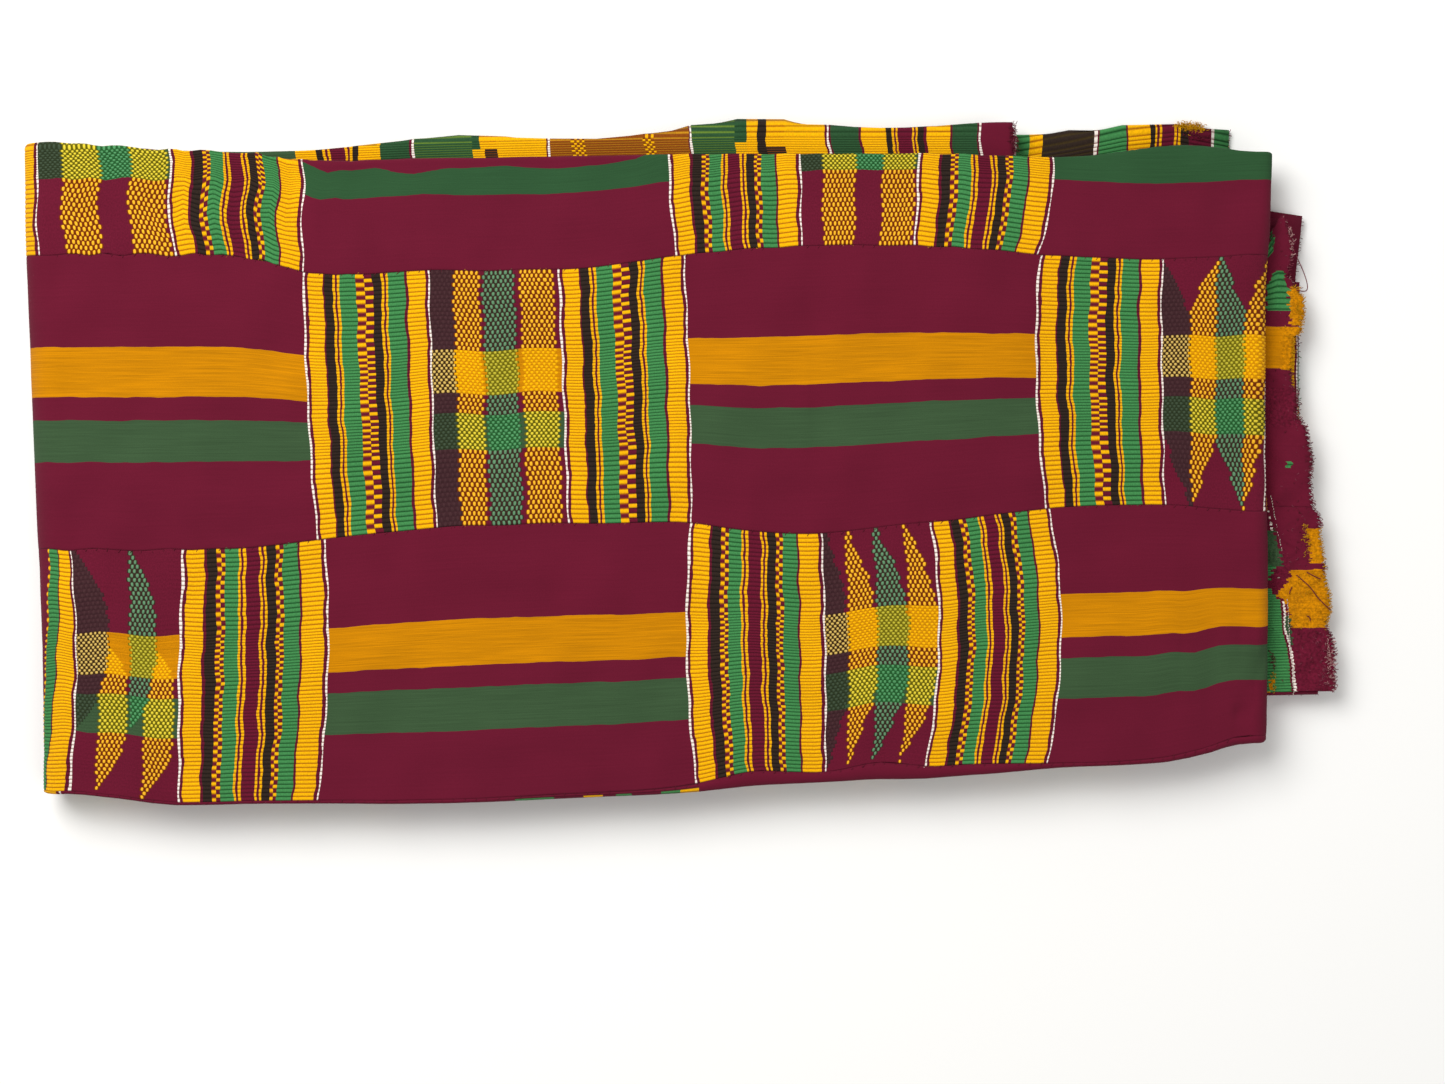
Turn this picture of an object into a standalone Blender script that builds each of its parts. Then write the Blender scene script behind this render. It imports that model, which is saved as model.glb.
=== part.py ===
# Folded kente cloth: nine handwoven strips sewn edge to edge, folded in half twice across the
# strips and then in half twice along them, so that it lies as sixteen layers.
#
# Every strip starts as the flat band that comes off the loom. fold_point() then carries each of
# its points to where it lies in the folded pack, and Solidify gives the cloth its thickness.
#
# Frame: metres, +Z up. The strips run along X, and +Y is the edge with the narrow fold. The origin
# is under the middle of the pack, on the surface that it lies on.

import math
from collections import namedtuple

import bmesh
import bpy

MILLIMETRE = 0.001

# The cloth
STRIP_COUNT = 9
STRIP_WIDTH = 0.100
CLOTH_THICKNESS = 0.0010
LAYER_GAP = 0.0004
SEAM_GAP = 0.0003

# A run is the cloth folded across its strips, four layers thick. Four runs lie on each other.
LAYER_PITCH = CLOTH_THICKNESS + LAYER_GAP
RUN_THICKNESS = 4 * LAYER_PITCH - LAYER_GAP
RUN_PITCH = 4 * LAYER_PITCH
RUN_HEIGHTS = [RUN_THICKNESS / 2 + run * RUN_PITCH for run in range(4)]
BOTTOM, SECOND, THIRD, TOP = range(4)

# The folds across the strips. q runs from the front edge of a run to its back edge.
RUN_WIDTH = 0.244
FRONT_FOLD_Q = RUN_THICKNESS / 2
BACK_FOLD_Q = RUN_WIDTH - LAYER_PITCH / 2 - CLOTH_THICKNESS / 2
FLAT_WIDTH = BACK_FOLD_Q - FRONT_FOLD_Q
NARROW_FOLD_RADIUS = 0.5 * LAYER_PITCH
WIDE_FOLD_RADIUS = 1.5 * LAYER_PITCH
NARROW_FOLD_LENGTH = math.pi * NARROW_FOLD_RADIUS
WIDE_FOLD_LENGTH = math.pi * WIDE_FOLD_RADIUS

# On the outer layer, the seam between the fifth strip and the sixth is this far from the back edge
FIRST_SEAM = 5 * STRIP_WIDTH
FIRST_SEAM_INSET = 0.040

# Where each layer of a run begins and ends, measured across the flat cloth
OUTER_LAYER_START = FIRST_SEAM - FIRST_SEAM_INSET + RUN_WIDTH - BACK_FOLD_Q
OUTER_LAYER_END = OUTER_LAYER_START + FLAT_WIDTH
SECOND_LAYER_END = OUTER_LAYER_START - NARROW_FOLD_LENGTH
SECOND_LAYER_START = SECOND_LAYER_END - FLAT_WIDTH
THIRD_LAYER_END = SECOND_LAYER_START - NARROW_FOLD_LENGTH
INNER_LAYER_START = OUTER_LAYER_END + WIDE_FOLD_LENGTH

# The top run sags at its back edge, where only two of the four layers of a run reach
BACK_SAG = 0.003

# Slow swells of the upper runs: wave lengths along X and Y, and height as a share of the pack's
SWELL_LENGTH_X = 0.21
SWELL_LENGTH_Y = 0.17
SWELL_SHARE = 0.025
SWELL_PHASE = 0.6

# The folds along the strips, at the left and right edges of the pack
LEFT_EDGE = -0.2445
RIGHT_EDGE = 0.2222
LEFT_CENTRE = LEFT_EDGE + (RUN_HEIGHTS[TOP] - RUN_HEIGHTS[BOTTOM] + RUN_THICKNESS) / 2
RIGHT_CENTRE = RIGHT_EDGE - (RUN_HEIGHTS[TOP] - RUN_HEIGHTS[THIRD] + RUN_THICKNESS) / 2

# The plan of each run, in millimetres, at stations along X.
# Columns: x, back edge, seam 5/6, seam 6/7, front edge
TOP_PLAN = [
    (-233, 121.0, 78.0, -33.0, -125.0),
    (-192, 118.5, 78.0, -33.0, -129.0),
    (-160, 117.0, 77.0, -32.0, -128.5),
    (-138, 114.5, 71.5, -29.5, -128.5),
    (-95, 115.0, 72.0, -25.0, -128.5),
    (-30, 116.0, 73.5, -23.0, -126.0),
    (4, 116.5, 78.0, -23.0, -124.5),
    (32, 116.5, 80.5, -26.5, -122.0),
    (100, 116.5, 81.0, -22.0, -119.0),
    (145, 115.5, 77.5, -17.0, -115.0),
    (190, 120.0, 76.5, -16.5, -112.0),
    (216, 117.5, 78.0, -18.5, -106.0),
]
SECOND_PLAN = [
    (-233, 121.0, 78.0, -33.0, -125.0),
    (-141, 119.0, 80.0, -29.0, -117.0),
    (-80, 125.0, 82.0, -25.0, -111.0),
    (-32, 123.5, 83.0, -21.0, -107.0),
    (34, 131.5, 84.0, -16.5, -101.5),
    (66, 128.0, 84.0, -15.0, -99.0),
    (124, 130.0, 84.0, -13.0, -94.0),
    (250, 116.0, 78.0, -17.0, -88.0),
]
BOTTOM_PLAN = [
    (-233, 121.0, 78.0, -33.0, -125.0),
    (-141, 117.0, 79.0, -29.0, -118.0),
    (66, 122.0, 82.0, -17.0, -101.0),
    (128, 126.5, 83.5, -15.0, -96.0),
    (198, 130.0, 82.0, -15.0, -90.0),
    (250, 118.0, 79.0, -16.0, -88.0),
]

# The plan is drawn out or in between these depths. The cloth next to the front fold keeps its width
FRONT_MARGIN = 0.006
PLAN_DEPTHS = [
    0.0,
    FIRST_SEAM_INSET,
    FIRST_SEAM_INSET + STRIP_WIDTH,
    RUN_WIDTH - FRONT_MARGIN,
    RUN_WIDTH,
]

# The middle of the plan, in metres, which is over the origin
MIDDLE_X = -0.0003
MIDDLE_Y = 0.0012

# How the pack changes from its back edge to its front. Columns: depth from the back edge, shift of
# the left edge and shift of the right edge, all in millimetres, and share of the sag
DEPTHS = [
    (0, -5.0, 2.0, 1.0),
    (15, -4.8, 1.6, 0.8),
    (30, -4.5, 1.0, 0.35),
    (48, -3.6, -0.5, 0.0),
    (80, -2.2, -1.0, 0.0),
    (120, -0.6, -0.8, 0.0),
    (160, 1.4, 0.0, 0.0),
    (200, 2.4, 0.0, 0.0),
    (238, 2.6, -0.4, 0.0),
    (244, 2.6, -0.5, 0.0),
]

# Where the cut ends of each strip lie along X, in millimetres. They were cut by hand, so no two
# are level. Columns: end in the bottom run, end in the second run
STRIP_ENDS = [
    (236, 228),
    (231, 238),
    (238, 232),
    (229, 236),
    (207, 125),
    (237, 234),
    (242, 249),
    (238, 243),
    (234, 237),
]

# How finely the strips are divided
LARGE_FOLD_STEPS = 8
SMALL_FOLD_STEPS = 6
NARROW_FOLD_STEPS = 3
WIDE_FOLD_STEPS = 5

MAROON = (0.147, 0.012, 0.032, 1.0)
COTTON_ROUGHNESS = 0.9

# A cross line of the strips: the plan that it follows, its x, the run that it lies in or the two
# runs that its fold joins, how far round the fold it is, and whether the fold is a left one.
Station = namedtuple("Station", "plan x run next_run turn leftward")


def interpolate(rows, value, column):
    """One column of a table, read along straight lines at a value of its first column."""
    if value <= rows[0][0]:
        return rows[0][column]
    for lower, upper in zip(rows, rows[1:]):
        if value <= upper[0]:
            share = (value - lower[0]) / (upper[0] - lower[0])
            return lower[column] + share * (upper[column] - lower[column])
    return rows[-1][column]


def section_point(across):
    """Where a width across the flat cloth lies in a run: q, and the height from the run's middle."""
    if across <= THIRD_LAYER_END:
        return FRONT_FOLD_Q + THIRD_LAYER_END - across, -0.5 * LAYER_PITCH
    if across < SECOND_LAYER_START:
        turn = math.pi * (across - THIRD_LAYER_END) / NARROW_FOLD_LENGTH
        q = FRONT_FOLD_Q - NARROW_FOLD_RADIUS * math.sin(turn)
        return q, -NARROW_FOLD_RADIUS * math.cos(turn)
    if across <= SECOND_LAYER_END:
        return FRONT_FOLD_Q + across - SECOND_LAYER_START, 0.5 * LAYER_PITCH
    if across < OUTER_LAYER_START:
        turn = math.pi * (across - SECOND_LAYER_END) / NARROW_FOLD_LENGTH
        q = BACK_FOLD_Q + NARROW_FOLD_RADIUS * math.sin(turn)
        return q, LAYER_PITCH - NARROW_FOLD_RADIUS * math.cos(turn)
    if across <= OUTER_LAYER_END:
        return BACK_FOLD_Q - (across - OUTER_LAYER_START), 1.5 * LAYER_PITCH
    if across < INNER_LAYER_START:
        turn = math.pi * (across - OUTER_LAYER_END) / WIDE_FOLD_LENGTH
        return FRONT_FOLD_Q - WIDE_FOLD_RADIUS * math.sin(turn), WIDE_FOLD_RADIUS * math.cos(turn)
    return FRONT_FOLD_Q + across - INNER_LAYER_START, -1.5 * LAYER_PITCH


def depth_in_millimetres(q):
    """How far in from the back edge a place across a run is."""
    return (RUN_WIDTH - q) / MILLIMETRE


def run_height(run, q):
    """The height of a run's middle, which is lower at the back edge of the top run."""
    if run != TOP:
        return RUN_HEIGHTS[run]
    return RUN_HEIGHTS[run] - BACK_SAG * interpolate(DEPTHS, depth_in_millimetres(q), 3)


def fold_shifts(q):
    """How far the centres of the left folds and of the right fold are moved along X.

    A fold's centre moves out by half the sag, so that its edge stays where DEPTHS has it."""
    depth = depth_in_millimetres(q)
    half_sag = (RUN_HEIGHTS[TOP] - run_height(TOP, q)) / 2
    left = interpolate(DEPTHS, depth, 1) * MILLIMETRE - half_sag
    right = interpolate(DEPTHS, depth, 2) * MILLIMETRE + half_sag
    return left, right


def swell(x, y, z):
    """The height of a point once the slow swells of the upper runs are added."""
    wave_x = math.sin(2 * math.pi * x / SWELL_LENGTH_X + SWELL_PHASE)
    wave_y = math.cos(2 * math.pi * y / SWELL_LENGTH_Y)
    return z + max(0.0, z - RUN_PITCH) * SWELL_SHARE * wave_x * wave_y


def fold_point(station, across):
    """The place in the folded pack of a point of the flat cloth."""
    q, height = section_point(across)
    left_shift, right_shift = fold_shifts(q)
    first = run_height(station.run, q)
    last = run_height(station.next_run, q)
    if station.run == station.next_run:
        share = min(1.0, max(0.0, (station.x - LEFT_CENTRE) / (RIGHT_CENTRE - LEFT_CENTRE)))
        x = station.x + (1 - share) * left_shift + share * right_shift
        face_up = station.run in (SECOND, TOP)
        z = first + height if face_up else first - height
    else:
        # The cloth's face is outside each fold but the small left one, which lies in the large one
        inside = station.leftward and station.run == THIRD
        radius = abs(first - last) / 2 + (-height if inside else height)
        reach = radius * math.sin(station.turn)
        x = station.x + (left_shift - reach if station.leftward else right_shift + reach)
        rise = radius * math.cos(station.turn)
        z = (first + last) / 2 + (rise if first > last else -rise)

    lines = [interpolate(station.plan, station.x / MILLIMETRE, column) for column in range(1, 5)]
    lines.insert(3, lines[3] + FRONT_MARGIN / MILLIMETRE)
    y = interpolate(list(zip(PLAN_DEPTHS, lines)), RUN_WIDTH - q, 1) * MILLIMETRE
    return x - MIDDLE_X, y - MIDDLE_Y, swell(x, y, z)


def straight_stations(plan, run, start, end):
    """The stations of a run, at the rows of its plan between two ends and at the ends themselves."""
    low, high = min(start, end), max(start, end)
    inside = [row[0] * MILLIMETRE for row in plan if low < row[0] * MILLIMETRE < high]
    places = [low, *inside, high]
    if end < start:
        places.reverse()
    return [Station(plan, x, run, run, 0.0, False) for x in places]


def fold_stations(plan, run, next_run, steps, leftward):
    """The stations round a fold, without its two ends, which belong to the runs that it joins."""
    x = LEFT_CENTRE if leftward else RIGHT_CENTRE
    turns = [math.pi * step / steps for step in range(1, steps)]
    return [Station(plan, x, run, next_run, turn, leftward) for turn in turns]


def strip_stations(bottom_end, second_end):
    """The stations along a strip, from its cut end in the bottom run to the one in the second."""
    return [
        *straight_stations(BOTTOM_PLAN, BOTTOM, bottom_end, LEFT_CENTRE),
        *fold_stations(TOP_PLAN, BOTTOM, TOP, LARGE_FOLD_STEPS, leftward=True),
        *straight_stations(TOP_PLAN, TOP, LEFT_CENTRE, RIGHT_CENTRE),
        *fold_stations(TOP_PLAN, TOP, THIRD, SMALL_FOLD_STEPS, leftward=False),
        *straight_stations(TOP_PLAN, THIRD, RIGHT_CENTRE, LEFT_CENTRE),
        *fold_stations(TOP_PLAN, THIRD, SECOND, SMALL_FOLD_STEPS, leftward=True),
        *straight_stations(SECOND_PLAN, SECOND, LEFT_CENTRE, second_end),
    ]


def division_widths():
    """The widths across the flat cloth at which it is divided: at the same depths in each layer,
    and finer round the folds."""
    widths = []
    for row in DEPTHS[1:-1]:
        q = RUN_WIDTH - row[0] * MILLIMETRE
        widths.append(THIRD_LAYER_END + FRONT_FOLD_Q - q)
        widths.append(SECOND_LAYER_START + q - FRONT_FOLD_Q)
        widths.append(OUTER_LAYER_START + BACK_FOLD_Q - q)
        widths.append(INNER_LAYER_START + q - FRONT_FOLD_Q)
    for start, end, steps in [
        (THIRD_LAYER_END, SECOND_LAYER_START, NARROW_FOLD_STEPS),
        (SECOND_LAYER_END, OUTER_LAYER_START, NARROW_FOLD_STEPS),
        (OUTER_LAYER_END, INNER_LAYER_START, WIDE_FOLD_STEPS),
    ]:
        widths += [start + (end - start) * step / steps for step in range(steps + 1)]
    return sorted(widths)


def make_cotton(name):
    """Handwoven cotton in the cloth's ground colour."""
    cotton = bpy.data.materials.new(name)
    cotton.use_nodes = True
    shader = cotton.node_tree.nodes["Principled BSDF"]
    shader.inputs["Base Color"].default_value = MAROON
    shader.inputs["Roughness"].default_value = COTTON_ROUGHNESS
    shader.inputs["Metallic"].default_value = 0.0
    return cotton


def make_strip(number, collection):
    """One strip, folded into its place in the pack and given its thickness."""
    bottom_end, second_end = STRIP_ENDS[number]
    stations = strip_stations(bottom_end * MILLIMETRE, second_end * MILLIMETRE)
    start = number * STRIP_WIDTH + SEAM_GAP / 2
    end = start + STRIP_WIDTH - SEAM_GAP
    widths = [start, *[width for width in division_widths() if start < width < end], end]

    folded = bmesh.new()
    along_steps, across_steps = len(stations) - 1, len(widths) - 1
    bmesh.ops.create_grid(folded, x_segments=along_steps, y_segments=across_steps, size=1.0)
    for vertex in folded.verts:
        along = round((vertex.co.x + 1) / 2 * along_steps)
        across = round((vertex.co.y + 1) / 2 * across_steps)
        vertex.co = fold_point(stations[along], widths[across])
    mesh = bpy.data.meshes.new(f"strip_{number + 1}")
    folded.to_mesh(mesh)
    folded.free()
    mesh.shade_smooth()
    mesh.materials.append(make_cotton(f"strip_{number + 1}_cotton"))

    strip = bpy.data.objects.new(mesh.name, mesh)
    collection.objects.link(strip)
    thickness = strip.modifiers.new("Cloth thickness", "SOLIDIFY")
    thickness.thickness = CLOTH_THICKNESS
    thickness.offset = 0.0
    thickness.use_even_offset = True


def main():
    for leftover in list(bpy.data.objects):
        bpy.data.objects.remove(leftover)
    cloth = bpy.data.collections.new("Folded kente cloth")
    bpy.context.scene.collection.children.link(cloth)
    for number in range(STRIP_COUNT):
        make_strip(number, cloth)


main()
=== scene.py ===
import math

import bpy
import numpy as np
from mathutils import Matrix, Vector


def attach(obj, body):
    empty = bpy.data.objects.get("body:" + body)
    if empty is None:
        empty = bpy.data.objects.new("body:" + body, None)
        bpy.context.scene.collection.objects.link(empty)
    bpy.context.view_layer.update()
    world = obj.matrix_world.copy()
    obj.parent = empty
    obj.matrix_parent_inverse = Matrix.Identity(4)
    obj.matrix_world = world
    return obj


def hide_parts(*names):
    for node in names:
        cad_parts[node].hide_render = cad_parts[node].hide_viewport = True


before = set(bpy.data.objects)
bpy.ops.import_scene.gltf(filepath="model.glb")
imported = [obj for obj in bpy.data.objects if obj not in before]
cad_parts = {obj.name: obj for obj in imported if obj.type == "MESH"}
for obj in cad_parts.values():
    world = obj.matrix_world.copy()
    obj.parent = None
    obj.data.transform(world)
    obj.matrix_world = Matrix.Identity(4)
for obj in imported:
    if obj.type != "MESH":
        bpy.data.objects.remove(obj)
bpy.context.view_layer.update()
mm = 0.001
print("frame loaded")

# Where the photograph's pixels lie: its frame is 1445 x 1084, seen from straight above
photo = {
    "pixel": 0.376,  # mm for one pixel at the height of the top layer
    "origin": (680, 462),  # the pixel over the middle of the pack's plan
    "centre": (722.5, 542),  # the pixel under the camera
    "width": 1445,
    "cameraHeight": 1.0,  # metres from the camera to the top layer
}

# How the pack is folded, in the same sizes as its solids
pack = {
    "layerPitch": 1.4 * mm,
    "runHeights": [2.6 * mm, 8.2 * mm, 13.8 * mm, 19.4 * mm],  # bottom, second, third, top run
    "runWidth": 244 * mm,
    "frontFoldQ": 2.6 * mm,
    "backFoldQ": 242.8 * mm,
    "stripWidth": 100 * mm,
    "seamGap": 0.08 * mm,  # the sewing draws the selvedges together
    "seamInset": 40 * mm,  # from the back edge to the seam between the fifth strip and the sixth
    "lowerMargin": 1.2 * mm,  # how much of the eighth strip shows in front, in the lower runs
    "backSag": 3 * mm,
    "leftCentre": -233.5 * mm,
    "rightCentre": 216.8 * mm,
    "middle": (-0.3 * mm, 1.2 * mm),
    "clothThickness": 0.7 * mm,
    # slow swells, as in the solids: wavelengths along x and y in metres, phase, share of the height
    "swell": (0.21, 0.17, 0.6, 0.025),
}

# Plans of the runs in mm: x, back edge, seam 5/6, seam 6/7, front edge
topPlan = [
    (-233, 121.0, 78.0, -33.0, -125.0),
    (-192, 118.5, 78.0, -33.0, -129.0),
    (-160, 117.0, 77.0, -32.0, -128.5),
    (-138, 114.5, 71.5, -29.5, -128.5),
    (-95, 115.0, 72.0, -25.0, -128.5),
    (-30, 116.0, 73.5, -23.0, -126.0),
    (4, 116.5, 78.0, -23.0, -124.5),
    (32, 116.5, 80.5, -26.5, -122.0),
    (100, 116.5, 81.0, -22.0, -119.0),
    (145, 115.5, 77.5, -17.0, -115.0),
    (190, 120.0, 76.5, -16.5, -112.0),
    (216, 117.5, 78.0, -18.5, -106.0),
]
secondPlan = [
    (-233, 121.0, 78.0, -33.0, -125.0),
    (-141, 119.0, 80.0, -29.0, -117.0),
    (-80, 125.0, 82.0, -25.0, -111.0),
    (-32, 123.5, 83.0, -21.0, -107.0),
    (34, 131.5, 84.0, -16.5, -101.5),
    (66, 128.0, 84.0, -15.0, -99.0),
    (124, 130.0, 84.0, -13.0, -94.0),
    (250, 116.0, 78.0, -17.0, -88.0),
]
bottomPlan = [
    (-233, 121.0, 78.0, -33.0, -125.0),
    (-141, 117.0, 79.0, -29.0, -118.0),
    (66, 122.0, 82.0, -17.0, -101.0),
    (128, 126.5, 83.5, -15.0, -96.0),
    (198, 130.0, 82.0, -15.0, -90.0),
    (250, 118.0, 79.0, -16.0, -88.0),
]
# How much of the eighth strip shows along the front of the upper runs: x, mm
frontMargins = [
    (-233, 1.0), (-200, 1.0), (-120, 1.2), (-60, 1.7), (5, 3.4), (25, 6.0), (55, 4.3), (75, 7.0),
    (95, 5.0), (120, 4.0), (137, 2.2), (216, 3.0),
]
# Depth from the back edge, shift of the left edge, shift of the right edge (mm), share of the sag
depthShape = [
    (0, -5.0, 2.0, 1.0),
    (15, -4.8, 1.6, 0.8),
    (30, -4.5, 1.0, 0.35),
    (48, -3.6, -0.5, 0.0),
    (80, -2.2, -1.0, 0.0),
    (120, -0.6, -0.8, 0.0),
    (160, 1.4, 0.0, 0.0),
    (200, 2.4, 0.0, 0.0),
    (238, 2.6, -0.4, 0.0),
    (244, 2.6, -0.5, 0.0),
]

pitch = pack["layerPitch"]
narrowRadius, wideRadius = 0.5 * pitch, 1.5 * pitch
narrowLength, wideLength = math.pi * narrowRadius, math.pi * wideRadius
flatWidth = pack["backFoldQ"] - pack["frontFoldQ"]
outerStart = 5 * pack["stripWidth"] - pack["seamInset"] + pack["runWidth"] - pack["backFoldQ"]
outerEnd = outerStart + flatWidth
secondEnd = outerStart - narrowLength
secondStart = secondEnd - flatWidth
thirdEnd = secondStart - narrowLength
innerStart = outerEnd + wideLength
bottomHeight, secondHeight, thirdHeight, topHeight = pack["runHeights"]
bigFold = math.pi * (topHeight - bottomHeight) / 2
smallFold = math.pi * (topHeight - thirdHeight) / 2
reach = pack["rightCentre"] - pack["leftCentre"]
secondFrom = 2 * (reach + smallFold)  # where the second run begins, along the strip
underRight = secondFrom + reach  # where it passes under the right fold
packTop = topHeight + 2 * pitch
flatBelow = 4 * pitch  # the lowest layers lie flat on the floor


def readSmooth(table, column, at):
    # a soft curve through one column of a table, level beyond its ends
    rows = np.array(table, float)
    places, values = rows[:, 0], rows[:, column]
    slopes = np.gradient(values, places)
    slopes[[0, -1]] = 0
    at = np.clip(at, places[0], places[-1])
    i = np.clip(np.searchsorted(places, at, side="right") - 1, 0, len(places) - 2)
    span = places[i + 1] - places[i]
    t = (at - places[i]) / span
    low = (2 * t**3 - 3 * t**2 + 1) * values[i] + (t**3 - 2 * t**2 + t) * span * slopes[i]
    high = (3 * t**2 - 2 * t**3) * values[i + 1] + (t**3 - t**2) * span * slopes[i + 1]
    return low + high


def crossSection(across):
    # where a width across the flat cloth lies in a run: q from the front edge, and its height
    cases = [across <= thirdEnd, across < secondStart, across <= secondEnd, across < outerStart]
    cases += [across <= outerEnd, across < innerStart]
    frontTurn = math.pi * (across - thirdEnd) / narrowLength
    backTurn = math.pi * (across - secondEnd) / narrowLength
    wideTurn = math.pi * (across - outerEnd) / wideLength
    frontQ, backQ = pack["frontFoldQ"], pack["backFoldQ"]
    flat = np.ones_like(across)
    q = np.select(
        cases,
        [
            frontQ + thirdEnd - across,
            frontQ - narrowRadius * np.sin(frontTurn),
            frontQ + across - secondStart,
            backQ + narrowRadius * np.sin(backTurn),
            backQ - (across - outerStart),
            frontQ - wideRadius * np.sin(wideTurn),
        ],
        frontQ + across - innerStart,
    )
    height = np.select(
        cases,
        [
            -0.5 * pitch * flat,
            -narrowRadius * np.cos(frontTurn),
            0.5 * pitch * flat,
            pitch - narrowRadius * np.cos(backTurn),
            1.5 * pitch * flat,
            wideRadius * np.cos(wideTurn),
        ],
        -1.5 * pitch * flat,
    )
    return q, height


# Soft folds and wrinkles of the top layers, placed one by one.
# Columns: from x, y, to x, y (pixels), half width (mm), height (mm, a trough is below nought)
creases = [
    (1185, 628, 1187, 705, 3.5, -1.2),
    (1193, 620, 1196, 720, 3.0, 0.9),
    (1215, 598, 1212, 742, 3.5, -1.3),
    (1223, 590, 1222, 742, 3.0, 0.9),
    (1256, 520, 1255, 735, 5.0, 0.9),
    (1246, 560, 1244, 735, 3.5, -1.0),
    (820, 268, 826, 505, 4.0, -0.9),
    (831, 272, 836, 500, 4.0, 0.6),
    (1050, 255, 1053, 508, 4.0, -0.6),
    (695, 262, 694, 518, 3.5, -0.8),
    (300, 262, 314, 540, 3.5, -0.8),
    (323, 545, 326, 795, 3.5, -0.8),
    (692, 525, 692, 785, 3.5, -0.8),
    (1056, 512, 1056, 765, 3.5, -0.7),
    (110, 150, 128, 250, 4.0, 0.8),
    (140, 152, 158, 250, 4.0, -0.9),
    (205, 152, 212, 255, 4.5, 0.8),
    (228, 152, 240, 258, 4.0, -0.9),
    (270, 158, 285, 262, 4.5, 0.8),
    (60, 150, 66, 250, 4.0, 0.6),
    (760, 160, 766, 250, 5.0, 0.7),
    (735, 160, 742, 252, 4.0, -0.6),
    (985, 160, 990, 250, 5.0, 0.6),
    (60, 300, 230, 330, 9.0, 0.9),
    (90, 480, 280, 505, 10.0, 0.8),
    (360, 300, 330, 505, 9.0, 0.5),
    (430, 560, 640, 590, 10.0, 0.9),
    (420, 745, 640, 740, 9.0, 0.8),
    (520, 200, 660, 245, 8.0, 0.9),
    (350, 225, 480, 250, 7.0, -0.8),
    (880, 300, 1010, 320, 9.0, 0.7),
    (720, 480, 1000, 470, 9.0, 0.8),
    (1090, 195, 1250, 240, 9.0, 0.9),
    (1070, 540, 1240, 575, 8.0, 0.8),
    (100, 560, 96, 780, 6.0, 0.7),
    (62, 560, 60, 780, 4.0, -0.7),
    (1268, 640, 1251, 704, 2.2, -1.7),
    (1251, 704, 1238, 724, 2.2, -1.5),
    (1259, 640, 1240, 704, 2.6, 1.1),
    (205, 300, 196, 500, 5.0, 0.6),
    (960, 520, 948, 770, 7.0, 0.7),
    (975, 520, 964, 770, 5.0, -0.6),
]
# Rumpled patches, where the cloth waves as well as rising and falling. Columns: middle x, y (pixels),
# reach along x and y (pixels), wavelength (mm), turn of the waves (degrees), height, side shift (mm)
rumples = [
    (175, 205, 150, 75, 15.0, 12, 0.50, 1.05),
    (262, 205, 75, 70, 11.0, -8, 0.40, 0.85),
    (120, 640, 90, 150, 22.0, 8, 0.30, 0.60),
    (55, 640, 35, 150, 14.0, 4, 0.35, 0.40),
    (740, 200, 80, 60, 17.0, 6, 0.35, 0.55),
    (950, 205, 110, 60, 19.0, -6, 0.30, 0.50),
    (1215, 660, 70, 90, 24.0, 10, 0.45, 0.70),
    (1200, 380, 60, 130, 26.0, -5, 0.30, 0.60),
    (500, 400, 160, 130, 45.0, 5, 0.30, 0.70),
    (860, 650, 170, 120, 40.0, -7, 0.30, 0.70),
]


def toPlan(px, py, height=packTop):
    # metres in the pack's plan for a pixel of something at this height, seen in perspective
    further = 1 + (packTop - height) / photo["cameraHeight"]
    x = (px - photo["centre"][0]) * further + photo["centre"][0] - photo["origin"][0]
    y = (py - photo["centre"][1]) * further + photo["centre"][1] - photo["origin"][1]
    return x * photo["pixel"] * mm, -y * photo["pixel"] * mm


def creaseHeight(x, y):
    total = np.zeros_like(x)
    for fromX, fromY, toX, toY, halfWidth, height in creases:
        ax, ay = toPlan(fromX, fromY)
        bx, by = toPlan(toX, toY)
        length2 = (bx - ax) ** 2 + (by - ay) ** 2
        t = np.clip(((x - ax) * (bx - ax) + (y - ay) * (by - ay)) / length2, 0, 1)
        gap2 = (x - ax - t * (bx - ax)) ** 2 + (y - ay - t * (by - ay)) ** 2
        fade = 0.35 + 0.65 * np.sin(math.pi * t)
        total += height * mm * fade * np.exp(-gap2 / (halfWidth * mm) ** 2)
    return total


def rumpleShift(x, y):
    # how far the rumples raise the cloth, and how far they push it across the strips
    rise, push = np.zeros_like(x), np.zeros_like(x)
    for px, py, reachX, reachY, wavelength, turn, height, side in rumples:
        middleX, middleY = toPlan(px, py)
        spanX, spanY = reachX * photo["pixel"] * mm, reachY * photo["pixel"] * mm
        window = np.exp(-(((x - middleX) / spanX) ** 2) - ((y - middleY) / spanY) ** 2)
        angle = math.radians(turn)
        run = (x * math.cos(angle) + y * math.sin(angle)) / (wavelength * mm)
        phase = 2 * math.pi * (run + 0.16 * np.sin(2 * math.pi * run * 0.37 + px))
        rise += height * mm * np.sin(phase) * window
        push += side * mm * np.cos(phase) * window
    return rise, push


def smallSwells(x, y):
    # unevenness of a few tenths of a millimetre, at 15 to 50 mm
    total = np.zeros_like(x)
    for waveX, waveY, phase, height in [
        (47, 90, 0.3, 0.30), (-33, 52, 1.9, 0.22), (24, -61, 4.1, 0.15),
        (19, 37, 2.6, 0.10), (120, -21, 5.2, 0.14), (-15, 80, 0.9, 0.07),
    ]:
        total += height * mm * np.sin(2 * math.pi * (x / (waveX * mm) + y / (waveY * mm)) + phase)
    return total


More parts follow.
